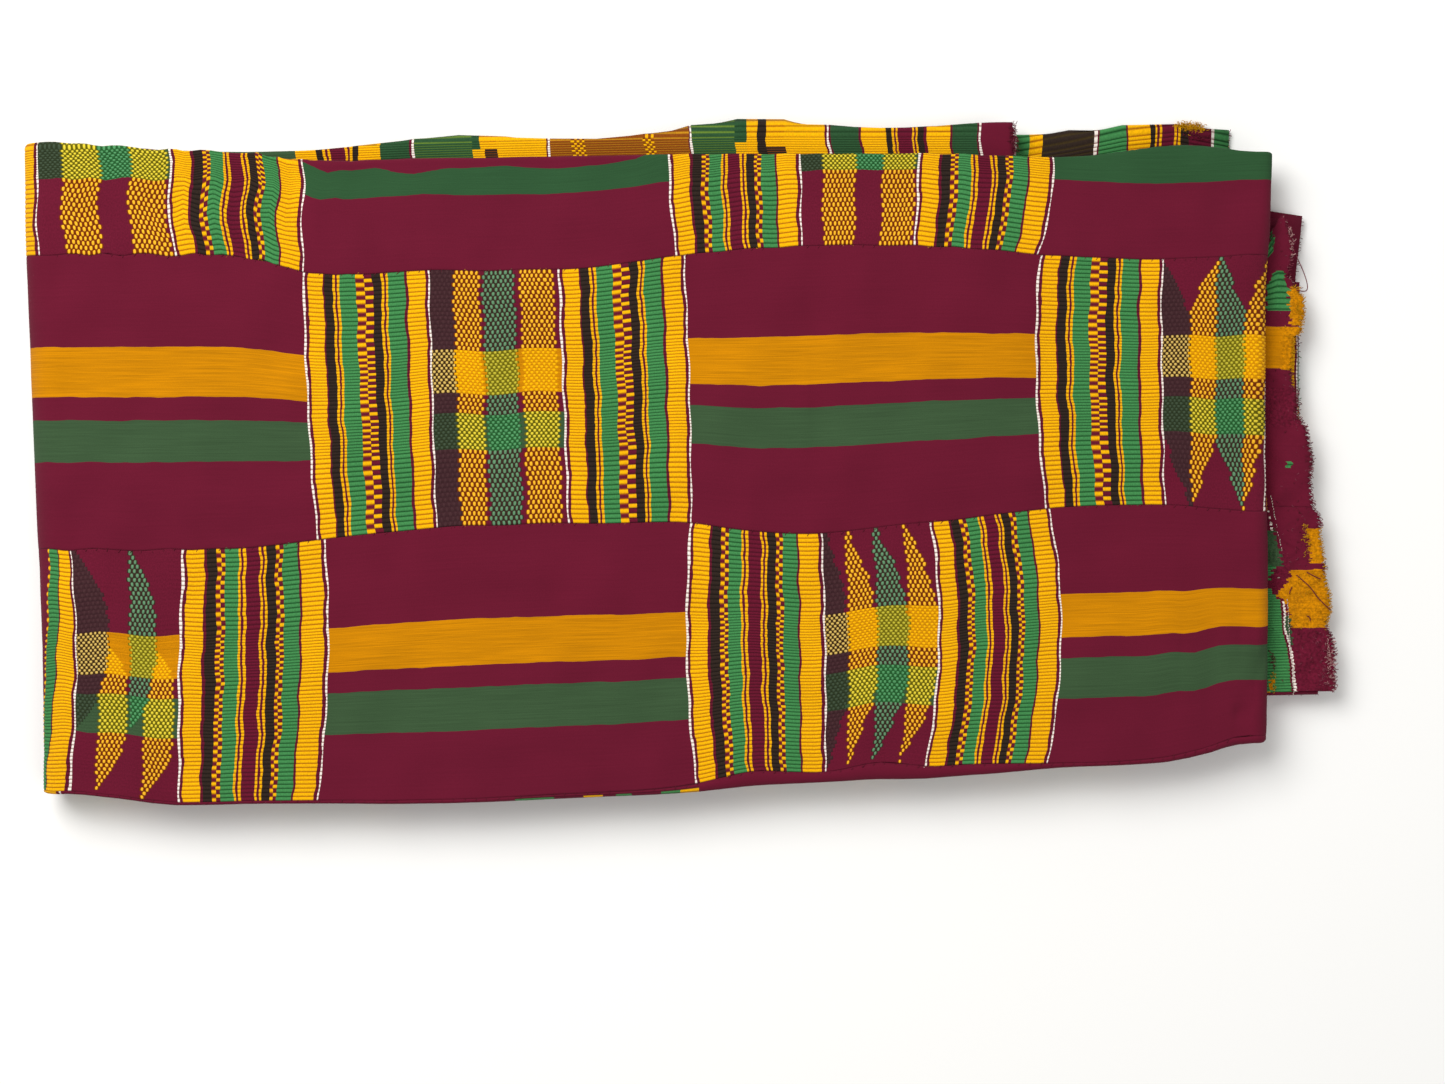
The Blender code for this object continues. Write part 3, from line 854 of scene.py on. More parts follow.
def drawOpenBars(tree, bars, base, high, spots, crossed):
    # Weft that floats over the warp in grains like rice, each row half a step on. A grain is whole,
    # so what is asked of a place is asked of the middle of its grain, and the edges are knobbly.
    length = barLengths(bars)[1]
    kinds = [bar[2] for bar in bars]
    bands = loom["bands"]
    pitchMm = loom["grainPitch"]
    steps = addNode(tree, "ShaderNodeMath", {0: wander(tree, spots), 1: pitchMm}, operation="DIVIDE")
    halfSteps = addNode(tree, "ShaderNodeMath", {0: spots["odd"], 1: 0.5, 2: steps},
                        operation="MULTIPLY_ADD")
    cell = addNode(tree, "ShaderNodeMath", {0: halfSteps}, operation="FLOOR")
    back = addNode(tree, "ShaderNodeMath", {0: spots["odd"], 1: -0.5, 2: 0.5},
                   operation="MULTIPLY_ADD")
    middle = addNode(tree, "ShaderNodeMath", {0: cell, 1: back}, operation="ADD")
    share = addNode(tree, "ShaderNodeMath", {0: middle, 1: pitchMm / length}, operation="MULTIPLY")

    isBlack, isGreen, isOpen, isShort = [
        addNode(tree, "ShaderNodeValToRGB", {0: share}, stops=barStops(bars, values), ramp="CONSTANT")
        for values in (
            [grey(float(bar[0] == "black")) for bar in bars],
            [grey(float(bar[0] == "green")) for bar in bars],
            [grey(float(kind != "bare")) for kind in kinds],
            [grey(float(kind == "short")) for kind in kinds],
        )
    ]
    layers = []
    for part in (0, 1):
        byWeft = [
            addNode(tree, "ShaderNodeValToRGB", {0: spots["bandShare"]}, stops=bandStops(values),
                    ramp="CONSTANT")
            for values in (
                [linearColour(openShadedPairs[weft][band][part]) for band in bands]
                for weft in ("yellow", "black", "green")
            )
        ]
        withBlack = addNode(tree, "ShaderNodeMix", {0: isBlack, 6: byWeft[0], 7: byWeft[1]},
                            data_type="RGBA").outputs[2]
        layers.append(addNode(tree, "ShaderNodeMix", {0: isGreen, 6: withBlack, 7: byWeft[2]},
                              data_type="RGBA").outputs[2])
    ground, grainColour = layers

    # painted shade and highlight: each grain is lit in its middle and shades into the darker ground
    # at its edges
    phase = addNode(tree, "ShaderNodeMath", {0: halfSteps}, operation="FRACT")
    turn = addNode(tree, "ShaderNodeMath", {0: phase, 1: math.pi}, operation="MULTIPLY")
    across = addNode(tree, "ShaderNodeMath", {0: turn}, operation="SINE")
    narrow = addNode(tree, "ShaderNodeMath", {0: across, 1: cottonLook["grainEnds"]},
                     operation="POWER")
    tall = addNode(tree, "ShaderNodeMath", {0: spots["hump"], 1: 0.5}, operation="POWER")
    size = addNode(tree, "ShaderNodeMath", {0: narrow, 1: tall}, operation="MULTIPLY")
    grain = addNode(tree, "ShaderNodeMapRange", shadeRange(size, *cottonLook["grainEdge"]),
                    interpolation_type="SMOOTHSTEP")
    woven = addNode(tree, "ShaderNodeMix", {0: grain, 6: ground, 7: grainColour},
                    data_type="RGBA").outputs[2]

    cover = isOpen
    if "short" in kinds:
        overGreen = addNode(tree, "ShaderNodeValToRGB", {0: spots["bandShare"]},
                            stops=bandStops([grey(float(band == "greenWarp")) for band in bands]),
                            ramp="CONSTANT")
        hidden = addNode(tree, "ShaderNodeMath", {0: isShort, 1: overGreen}, operation="GREATER_THAN")
        cover = addNode(tree, "ShaderNodeMath", {0: isOpen, 1: hidden}, operation="SUBTRACT")
    if "leaf" in kinds:
        inside = drawLeaves(tree, bars, share, spots["index"], crossed)
        cover = addNode(tree, "ShaderNodeMath", {0: isOpen, 1: inside}, operation="MULTIPLY")
    cloth = addNode(tree, "ShaderNodeMix", {0: cover, 6: base, 7: woven}, data_type="RGBA").outputs[2]
    raised = addNode(tree, "ShaderNodeMath", {0: grain, 1: cottonLook["grainRise"], 2: spots["hump"]},
                     operation="MULTIPLY_ADD")
    covered = addNode(tree, "ShaderNodeMath", {0: cover, 1: raised}, operation="MULTIPLY")
    return cloth, addNode(tree, "ShaderNodeMath", {0: high, 1: covered}, operation="MAXIMUM")


def weaveCotton(name, weave):
    # Handwoven cotton, dull and slightly fuzzy. Plain stretches show the warp as fine lines along
    # the strip; in the blocks the weft is beaten down over it in ribs, each like a row of beads.
    material, shader = newMaterial(name, cottonLook["finish"])
    tree = material.node_tree
    plain = not weave["bars"]
    crushed = name.endswith("Scrap")

    place = addNode(tree, "ShaderNodeUVMap", uv_map="weave")
    along = addNode(tree, "ShaderNodeSeparateXYZ", {0: place})
    ribMap = addNode(tree, "ShaderNodeUVMap", uv_map="ribs")
    rib = addNode(tree, "ShaderNodeSeparateXYZ", {0: ribMap}).outputs[1]
    u, v = along.outputs[0], along.outputs[1]
    place3 = addNode(tree, "ShaderNodeTexCoord").outputs["Object"]
    warp, lines, bandShare = drawWarp(tree, weave, v, place, place3)

    # the rib under this point, its roundness, and whether it is an odd one
    phase = addNode(tree, "ShaderNodeMath", {0: rib}, operation="FRACT")
    index = addNode(tree, "ShaderNodeMath", {0: rib}, operation="FLOOR")
    halfTurn = addNode(tree, "ShaderNodeMath", {0: phase, 1: math.pi}, operation="MULTIPLY")
    hump = addNode(tree, "ShaderNodeMath", {0: halfTurn}, operation="SINE")
    odd = addNode(tree, "ShaderNodeMath", {0: index, 1: 2.0}, operation="MODULO")
    # single wefts and fibres: fine and narrow along the strip, a rib high
    fineSpot = addNode(tree, "ShaderNodeCombineXYZ", {0: u, 1: rib})
    fine = addNode(tree, "ShaderNodeTexNoise",
                   {"Vector": fineSpot, "Scale": cottonLook["fibreScale"], "Detail": 2.0,
                    "Roughness": 0.6}, noise_dimensions="2D")

    spots = {"u": u, "place": place, "index": index, "odd": odd, "hump": hump,
             "bandShare": bandShare}
    cloth = warp
    high = addNode(tree, "ShaderNodeMath", {0: lines, 1: 0.5, 2: fine}, operation="MULTIPLY_ADD")
    if isOpenWeave(weave):
        high = addNode(tree, "ShaderNodeMath", {0: high, 1: 0.25}, operation="MULTIPLY")
        for bars in filter(None, (weave["bars"], weave["over"])):
            cloth, high = drawOpenBars(tree, bars, cloth, high, spots, weave.get("crossed", False))
    elif not plain:
        cloth = drawSolidBars(tree, weave["bars"], spots)
        high = addNode(tree, "ShaderNodeMath", {0: fine, 1: 0.5, 2: hump}, operation="MULTIPLY_ADD")

    fineShade = addNode(tree, "ShaderNodeMapRange",
                        shadeRange(fine, *cottonLook["plainFibres" if plain else "ribFibres"]))
    slow = addNode(tree, "ShaderNodeTexNoise",
                   {"Vector": place3, "Scale": cottonLook["slowScale"], "Detail": 3.0},
                   noise_dimensions="3D")
    slowShade = addNode(tree, "ShaderNodeMapRange", shadeRange(slow, *cottonLook["slowShade"]))
    shade = addNode(tree, "ShaderNodeMath", {0: fineShade, 1: slowShade}, operation="MULTIPLY")
    # painted light: the crushed nubs are lighter where the bump raises them and darker between them
    if crushed:
        nubs = addNode(tree, "ShaderNodeTexNoise",
                       {"Vector": place3, "Scale": cottonLook["nubScale"], "Detail": 3.0,
                        "Roughness": 0.7}, noise_dimensions="3D")
        nubShade = addNode(tree, "ShaderNodeMapRange", shadeRange(nubs, *cottonLook["nubShade"]))
        shade = addNode(tree, "ShaderNodeMath", {0: shade, 1: nubShade}, operation="MULTIPLY")
        high = addNode(tree, "ShaderNodeMath", {0: high, 1: nubs}, operation="ADD")
    colour = addNode(tree, "ShaderNodeVectorMath", {0: cloth, "Scale": shade}, operation="SCALE")
    strength = cottonLook["plainBump" if plain and not crushed else "bump"]
    depth = cottonLook["crushedDepth" if crushed else "bumpDepth"]
    bump = addNode(tree, "ShaderNodeBump", {"Strength": strength, "Distance": depth, "Height": high})
    tree.links.new(colour.outputs[0], shader.inputs["Base Color"])
    tree.links.new(bump.outputs[0], shader.inputs["Normal"])
    return material


cottons = [weaveCotton(f"handwovenCotton_{name}", weaves[name]) for name in weaveNames]
print("weaves made:", len(cottons))

shownStrips = (4, 5, 6)  # the strips are counted from nought, from the back
# What each strip shows. Blocks are weft lines in pixels at the strip's back, middle and front, and
# the weave that begins there. The fifth strip only shows its front half in the top layer.
stripSettings = {
    4: {
        "bandEdges": [0, 31, 48, 59, 70, 100],
        "leans": (60, 80, 100),
        "depths": (0, 20, 40),
        "top": [
            (38, 38, 38, "middleShort"), (168, 170, 172, "barsTwo"), (304, 304, 302, "plainDeep"),
            (668, 670, 676, "barsTwo"), (800, 801, 802, "middleShort"), (917, 916, 914, "barsTwo"),
            (1052, 1050, 1038, "plainDeep"),
        ],
        "second": [
            (297, 303, 309, "edgeBars"), (416, 422, 428, "edgeFigures"),
            (550, 557, 564, "edgeLozenge"), (691, 700, 709, "edgeSteps"),
            (828, 839, 850, "edgeBarsRight"), (979, 988, 997, "foldBack"),
        ],
        "bottom": [(1226, 1226, 1226, "lowEdgeBars"), (1014, 1014, 1014, "barsTwo")],
        # where the green band begins, which wavers: pixel column, mm across the strip
        "greenEdge": [
            (0, 55), (290, 55), (307, 57.4), (327, 60.3), (343, 59.2), (379, 59), (395, 61),
            (415, 62.2), (446, 60.4), (502, 59.2), (558, 60.8), (640, 59.8), (672, 56),
            (1050, 56), (1120, 54), (1280, 53),
        ],
    },
    5: {
        "bandEdges": [0, 31.3, 48.3, 56.2, 70, 100],
        "leans": (0, 50, 100),
        "depths": (40, 90, 140),
        "top": [
            (302, 307, 317, "barsOne"), (429, 433, 437, "middleOpen"),
            (558, 563, 568, "barsOne"), (685, 690, 692, "plainWarp"),
            (1040, 1036, 1046, "barsOne"), (1164, 1163, 1166, "leavesPaired"),
            (1270.5, 1266, 1264, "barsOne"),
        ],
        "second": [(1150, 1150, 1150, "plainWarp")],
        "secondShift": -3.4,  # mm that the bands lie further back in the second run
    },
    6: {
        "bandEdges": [0, 34, 51, 59, 74.5, 100],
        "leans": (0, 50, 100),
        "depths": (140, 190, 240),
        "top": [
            (20, 20, 16, "foldBack"), (47, 42, 34, "foldBars"),
            (70, 77, 70, "leavesStaggered"), (182, 178, 178, "barsTwo"),
            (325, 328, 318, "plainWarp"), (690, 686, 696, "barsTwo"),
            (822, 826, 826, "leavesFull"), (930, 938, 925, "barsTwo"),
            (1050, 1062, 1048, "plainWarp"),
        ],
        "second": [(1218, 1231, 1243, "endBars"), (1272, 1285, 1297, "plainWarp")],
    },
    7: {
        "bandEdges": [0, 32, 50, 57.8, 73.5, 100],
        "leans": (0, 50, 100),
        "depths": (240, 240, 240),
        "top": [
            (60, 60, 60, "plainWarp"), (515, 515, 515, "frontBits"), (699, 699, 699, "plainWarp"),
            (1040, 1040, 1040, "plainWarp"),
        ],
        "second": [(1150, 1150, 1150, "plainWarp")],
    },
}
# Where the cut ends lie along X in mm: in the bottom run, in the second run
stripEnds = [
    (236, 228), (231, 238), (238, 232), (229, 236), (207, 125),
    (229, 234), (242, 249), (238, 243), (234, 237),
]
# The second run's cut edges that show. Columns: mm from the strip's back selvedge, x in mm
cutEdges = {
    5: [
        (0, 229), (3, 231.3), (5, 233), (8, 232.5), (12, 231.5), (14.5, 234), (18, 238),
        (22.5, 238.2), (26, 237), (28, 236), (29.5, 236.9), (32, 233.6), (50, 233), (55, 234.6),
        (63, 234.6), (68, 238.5), (75, 239.2), (81, 240.6), (88, 239.9), (100, 240.2),
    ],
    6: [
        (0, 240), (4, 242.5), (20, 243.3), (30, 243.8), (41, 245), (50, 246), (57, 246.8),
        (63, 245.6), (65.4, 245.4), (70.6, 247.3), (77, 248), (81, 248.5), (95, 248.8),
        (100, 248.2),
    ],
}
# Crushed scraps at the cut ends, each over the ones before it. Columns: strip, from v, to v (mm
# across it), left x there, right x there (mm), weave
scraps = [
    (5, 2, 5, 222.5, 222.5, 226.5, 226, "greenWeft"),
    (5, 10.5, 13.5, 225, 224, 229.5, 231, "greenWeft"),
    (5, 13.5, 21.5, 223, 223, 231.3, 231.6, "greenWeft"),
    (5, 14.5, 27, 231.6, 232.3, 241, 241, "yellowScrap"),
    (5, 27.9, 44.9, 228.8, 228.4, 245, 245, "yellowScrap"),
    (5, 52, 68, 214, 214, 245, 245, "maroonScrap"),
    (5, 81.5, 84, 229.8, 230.5, 232.5, 232, "greenWeft"),
    (6, -1, 44, 214, 214, 223.8, 228.2, "maroonScrap"),
    (6, 25, 44, 226.5, 228.3, 232, 232, "maroonScrap"),
    (6, 44, 52, 224.5, 229, 228.5, 229.5, "maroonScrap"),
    (6, 52, 101, 231.2, 235, 252, 252, "maroonScrap"),
    (6, 12.6, 32, 222, 222, 226, 229.5, "greenScrap"),
    (6, 31.6, 40, 222, 222, 226, 224, "greenWeft"),
    (6, 11, 30, 238.4, 240, 252, 252, "yellowScrap"),
    (6, 33, 38, 242, 231.9, 252, 252, "yellowScrap"),
    (6, 38, 47.6, 231.9, 227, 252, 252, "yellowScrap"),
    (6, 47.6, 53, 227, 231, 252, 252, "yellowScrap"),
    (6, 53, 65.4, 231, 232.5, 252, 252, "yellowScrap"),
    (6, 93, 101, 224.3, 224.3, 226.2, 225, "yellowScrap"),
]
sheetSettings = {
    "fineColumn": 4.6 * mm,  # between weft lines of the mesh on the top run
    "rumpledColumn": 3.0 * mm,  # on the fifth strip, which is the most rumpled
    "hiddenColumn": 9 * mm,
    "coarseColumn": 24 * mm,  # on the other runs
    "endColumn": 1.3 * mm,
    "closest": 0.7 * mm,  # no two lines are nearer
    "foldColumns": (10, 8),  # across the big left fold, and across each small one
    "fineRow": 1 / 3,  # ribs between rows of the mesh where the strip shows
    "hiddenRibs": 32,  # of the fifth strip, with a row for each
    "coarseRow": 2.0,
    "foldRows": (6, 6, 10),  # across the two narrow folds and the wide one
    "rowRoom": (0.2, 0.3),  # mm that a fold's rows keep from a selvedge, and from other rows
    "turnWidth": 2.2,  # mm of the fifth strip that lie in the back fold
    "weftWaver": 0.25 * mm,
    "ribRelief": 0.13 * mm,
    "plainRelief": 0.015 * mm,
    "selvedgeDip": 0.07 * mm,
    "selvedgeWidth": 0.9,  # mm
    "looseRise": 0.8 * mm,  # how far the loose cut ends lift
    "crumples": (0.85 * mm, 0.3 * mm),  # heights of their broad and small crumples
    "cornerPull": 15.5 * mm,  # how far the sixth strip's loose corner is pulled back
    "cornerWidth": 26,  # mm across the strip
    # the fifth strip's bars bend by the left fold: how far, and in mm across the strip the bend
    # that is furthest right and the way to the next; along the strip the middle and the reach
    "bend": 1.1 * mm,
    "bendAcross": (66, 33),
    "bendAlong": (55 * mm, 50 * mm),
}
periods = {"bars": 48 * mm, "middle": 49 * mm, "plain": 137 * mm}
weaveCycle = ["plain", "bars", "middle", "bars"]


def family(weave):
    if weave.startswith("plain"):
        return "plain"
    return "bars" if weave.startswith("bars") else "middle"


def carryOn(number, blocks, towards, limit):
    # more blocks in the weaver's order, from the charted ones to a limit
    middles = ["middleOpen", "leavesPaired"] if number % 2 else ["leavesFull", "middleShort"]
    names = {"plain": "plainWarp", "bars": "barsOne" if number % 2 else "barsTwo"}
    whole = len(weaveCycle)
    made = []
    if towards < 0:
        places, weave = np.array(blocks[0][:3]), blocks[0][3]
        if family(weave) != "bars":
            at = 3 if family(weave) == "plain" else 1
        else:
            at = weaveCycle.index("plain" if family(blocks[1][3]) == "middle" else "middle")
        while places.mean() > limit:
            kind = weaveCycle[at % whole]
            places = places * 0 + places.mean() - periods[kind]
            made.insert(0, (*places, names.get(kind, middles[(at // whole) % 2])))
            at -= 1
        return made
    places, weave = np.array(blocks[-1][:3]), blocks[-1][3]
    at = weaveCycle.index(family(weave))
    if family(weave) == "bars" and family(blocks[-2][3]) == "middle":
        at = 3
    while places.mean() + periods[weaveCycle[at % whole]] < limit:
        places = places * 0 + places.mean() + periods[weaveCycle[at % whole]]
        at += 1
        kind = weaveCycle[at % whole]
        made.append((*places, names.get(kind, middles[(at // whole) % 2])))
    return made


def chartBlocks(rows, depths, run):
    # charted blocks with their weft lines as places along the strip
    return [
        (*[alongAt(px, depth, run) for px, depth in zip(row[:3], depths)], row[3]) for row in rows
    ]


def stripBlocks(number, start, end):
    # every block of a strip, from its end in the bottom run to its end in the second run
    settings = stripSettings.get(number)
    if settings is None:
        settings = {"depths": (40, 40, 40), "top": stripSettings[5 - number % 2]["top"]}
    top = chartBlocks(settings["top"], settings["depths"], "top")
    bottom = chartBlocks(settings.get("bottom", []), (0, 0, 0), "bottom")
    second = chartBlocks(settings.get("second", []), settings["depths"], "second")
    limit = bottom[-1][0] if bottom else start
    before = carryOn(number, top, -1, limit)
    before = [block for block in before if np.mean(block[:3]) > limit + 10 * mm or not bottom]
    after = carryOn(number, top, 1, second[0][0] if second else end)
    return [*bottom, *before, *top, *after, *second]


def weaveColumns(number, start, end):
    # The mesh's weft lines: for each, how far along it is at the strip's back, middle and front.
    # Between two lines, what block the faces belong to and how far through it they are.
    blocks = stripBlocks(number, start, end)
    blocks[0] = (start, start, start, blocks[0][3])
    blocks = [b for i, b in enumerate(blocks) if i == 0 or np.mean(b[:3]) < end - 2 * mm]
    lastLine = (end, end, end)
    bigSteps, smallSteps = sheetSettings["foldColumns"]
    folds = [(-bigFold, 0, bigSteps), (reach, reach + smallFold, smallSteps),
             (secondFrom - smallFold, secondFrom, smallSteps)]
    supports = [a + (b - a) * i / n for a, b, n in folds for i in range(n + 1)]
    onTop = {4: "rumpledColumn", 5: "fineColumn", 6: "fineColumn"}.get(number, "hiddenColumn")
    finer = [(-2 * mm, reach, sheetSettings[onTop])]
    if number in shownStrips:
        finer.append((min(end - 12 * mm, underRight - 6 * mm), end, sheetSettings["endColumn"]))
    closest = sheetSettings["closest"]
    lines, faces = [], []
    for i, block in enumerate(blocks):
        here = np.array(block[:3])
        there = np.array(blocks[i + 1][:3] if i + 1 < len(blocks) else lastLine)
        span = there[1] - here[1]
        count = max(2, math.ceil(span / sheetSettings["coarseColumn"]))
        shares = {k / count for k in range(count)}
        shares |= {(s - here[1]) / span for s in supports if here[1] < s < there[1]}
        for finerFrom, finerTo, step in finer:
            low, high = max(here[1], finerFrom), min(there[1], finerTo)
            if high > low:
                extra = math.ceil((high - low) / step)
                shares |= {(low + (high - low) * k / extra - here[1]) / span
                           for k in range(extra)}
        shares = sorted(s for s in shares if 0 <= s < 1)
        kept = [0.0]
        for s in shares[1:]:
            if (s - kept[-1]) * span > closest and (1 - s) * span > closest:
                kept.append(s)
        bars = weaves[block[3]]["bars"]
        length = barLengths(bars)[1] if bars else span / mm
        for s, following in zip(kept, [*kept[1:], 1.0]):
            lines.append(here + (there - here) * s)
            faces.append((s * length, following * length, weaveNames.index(block[3])))
    lines.append(np.array(lastLine))
    return np.array(lines), faces


def weaveRows(number):
    # where the mesh's rows lie across the strip (mm), and the number of ribs up to each
    settings = stripSettings.get(number, stripSettings[7])
    whole = loom["ribEdges"][-1]
    fine = sheetSettings["fineRow"]
    if number in (5, 6):
        ribs = np.arange(0, whole + 0.1, fine)
    elif number == 4:
        hidden = sheetSettings["hiddenRibs"]
        ribs = np.concatenate([np.arange(0, hidden, 1.0), np.arange(hidden, whole + 0.1, fine)])
    else:
        ribs = np.arange(0, whole + 0.1, sheetSettings["coarseRow"])
        ribs = np.append(ribs, whole) if ribs[-1] < whole else ribs
    ribs[-1] = whole
    rows = np.interp(ribs, loom["ribEdges"], settings["bandEdges"])
    if number not in shownStrips:
        fromEdge, fromRow = sheetSettings["rowRoom"]
        base = number * pack["stripWidth"]
        folds = [(thirdEnd, secondStart), (secondEnd, outerStart), (outerEnd, innerStart)]
        extra = [(a + (b - a) * i / n - base) / mm
                 for (a, b), n in zip(folds, sheetSettings["foldRows"]) for i in range(n + 1)]
        extra = [v for v in extra if fromEdge < v < 100 - fromEdge]
        kept = [v for v in rows if all(abs(v - e) > fromRow for e in extra) or v in (0.0, 100.0)]
        rows = np.array(sorted([*kept, *extra]))
        ribs = np.interp(rows, settings["bandEdges"], loom["ribEdges"])
    return rows, ribs, settings


def crumple(x, y):
    # the loose cut ends are crushed
    broadHeight, smallHeight = sheetSettings["crumples"]
    broad = np.sin(x / (2.6 * mm) + 1.3 * np.sin(y / (5 * mm)))
    broad = broad * np.cos(y / (4.1 * mm) + 0.8 * np.sin(x / (6 * mm)))
    small = np.sin(x / (0.9 * mm) + 2 * np.sin(y / (1.7 * mm))) * np.sin(y / (1.1 * mm))
    return broadHeight * broad + smallHeight * small


def bandsAt(lines, settings, rows):
    # how far across the even weave each point of the mesh lies, as the bands waver
    edges = np.tile(np.array(settings["bandEdges"], float), (len(lines), 1))
    middle = lines[:, 1]
    if "greenEdge" in settings:
        places = np.array([(alongAt(px, 10), v) for px, v in settings["greenEdge"]])
        wavering = np.interp(middle, places[:, 0], places[:, 1])
        onTop = (middle > -bigFold) & (middle < reach + smallFold)
        edges[onTop, 3] = wavering[onTop]
    if "secondShift" in settings:
        edges[middle > secondFrom, 1:-1] += settings["secondShift"]
    return np.array([np.interp(rows, line, loom["bandEdges"]) for line in edges])


def barAt(bars, u):
    # the bar that a place in a block lies in, and how far through the bar it is
    starts = barLengths(bars)[0]
    at = int(np.searchsorted(starts, u, side="right")) - 1
    return bars[at], (u - starts[at]) / bars[at][1]


def weftCover(weave, u, ribs, nominal):
    # where the weft covers the warp on one weft line, which is where ribs stand up
    if not weave["bars"]:
        return np.zeros(len(ribs))
    if not isOpenWeave(weave):
        return np.ones(len(ribs))
    cover = np.zeros(len(ribs), bool)
    share = ribs / ribCount
    for bars in filter(None, (weave["bars"], weave["over"])):
        bar, through = barAt(bars, u)
        if bar[2] == "open":
            cover[:] = True
        elif bar[2] == "short":
            cover |= (nominal > loom["bandEdges"][3]) & (nominal < loom["bandEdges"][4])
        elif bar[2] == "leaf":
            inFront = share > crossedFrom if weave.get("crossed") else np.zeros(len(ribs), bool)
            side = (bar[3] == "right") ^ inFront
            cover |= np.abs(side - through) < np.interp(share, *np.array(leafOutlines[bar[4]]).T)
    return cover.astype(float)


def bowWefts(number, lines, rows, leans, end):
    # how far along the strip the mesh's points lie: wefts run through three places, as a soft bow
    v = np.clip(rows, leans[0], leans[2])
    a, b, c = leans
    back = (v - b) * (v - c) / ((a - b) * (a - c))
    middle = (v - a) * (v - c) / ((b - a) * (b - c))
    front = (v - a) * (v - b) / ((c - a) * (c - b))
    along = lines[:, :1] * back + lines[:, 1:2] * middle + lines[:, 2:] * front
    if number in shownStrips:
        along = along + sheetSettings["weftWaver"] * np.sin(rows / 3.7 + along * 90)
    if number == 4:
        furthest, wave = sheetSettings["bendAcross"]
        bendMiddle, bendReach = sheetSettings["bendAlong"]
        bend = sheetSettings["bend"] * np.cos(2 * math.pi * (rows - furthest) / wave)
        along = along + bend * np.exp(-(((along - bendMiddle) / bendReach) ** 2))
    if number in cutEdges:
        # the cut edge is where the hand cut it, and the last few lines follow it
        cut = np.interp(rows, *np.array(cutEdges[number]).T) * mm - pack["leftCentre"] + secondFrom
        cut = cut + 0.5 * mm * np.sin(rows * 2.9) + 0.4 * mm * np.sin(rows * 7.1 + 1)
        loose = underRight + 4 * mm
        stretch = np.clip((along - loose) / (end - loose), 0, 1)
        along = along + stretch * (cut - end)[None, :]
    return along


def spreadAcross(number, along, rows):
    # how far across the flat cloth the mesh's points lie
    base = number * pack["stripWidth"] + pack["seamGap"] / 2
    width = pack["stripWidth"] - pack["seamGap"]
    if number != 4:
        return np.tile(base + rows / 100 * width, (len(along), 1))
    # the distance from the front seam is true, so the back fold runs askew over the bands
    stations = findRuns(along)[1]
    foldV = 100 - (planLine(1, stations, along) - planLine(2, stations, along))
    marks = [0 * foldV, foldV - sheetSettings["turnWidth"], foldV, 0 * foldV + 100]
    values = [base, secondEnd, outerStart, base + width]
    across = base * np.ones_like(along)
    for i in range(3):
        part = np.clip((rows[None, :] - marks[i]) / (marks[i + 1] - marks[i]), 0, 1)
        across = across + part * (values[i + 1] - values[i])
    return across


def raiseWeave(number, points, faces, rows, ribs, nominal):
    # ribs and selvedges stand out along the cloth's own normal
    normal = np.cross(np.gradient(points, axis=0), np.gradient(points, axis=1))
    normal /= np.linalg.norm(normal, axis=2, keepdims=True) + 1e-12
    covered = np.array([
        weftCover(weaves[weaveNames[face[2]]], face[0], ribs, nominal[i])
        for i, face in enumerate([*faces, faces[-1]])
    ])
    flatRelief, ribRelief = sheetSettings["plainRelief"], sheetSettings["ribRelief"]
    roundness = np.abs(np.sin(math.pi * ribs)) * 2 - 1
    relief = (flatRelief + covered * (ribRelief - flatRelief)) * roundness[None, :]
    relief = relief * (number in shownStrips)
    toEdge = np.minimum(rows, 100 - rows) / sheetSettings["selvedgeWidth"]
    relief = relief - sheetSettings["selvedgeDip"] * np.exp(-(toEdge**2))[None, :]
    return points - normal * relief[:, :, None]


def layScraps(number, low, middleX, kinds):
    # the scraps that cover this column of faces give it their own weaves
    for strip, fromV, toV, left0, left1, right0, right1, weave in scraps:
        share = (low - fromV) / (toV - fromV)
        wobble = 0.5 * np.sin(low * 1.9 + left0)
        inside = (share >= 0) & (share <= 1) & (strip == number)
        inside &= middleX > left0 + share * (left1 - left0) + wobble
        inside &= middleX < right0 + share * (right1 - right0) + wobble
        kinds[inside] = weaveNames.index(weave)


def newObject(name, data):
    made = bpy.data.objects.new(name, data)
    bpy.context.scene.collection.objects.link(made)
    return made


def makePlain(piece):
    # what the piece's modifiers make of it becomes its own plain mesh
    before = piece.data
    made = bpy.data.meshes.new_from_object(
        piece.evaluated_get(bpy.context.evaluated_depsgraph_get()))
    piece.modifiers.clear()
    piece.data = made
    bpy.data.meshes.remove(before)
    made.name = piece.name


def countTriangles(mesh):
    return sum(len(face.vertices) - 2 for face in mesh.polygons)


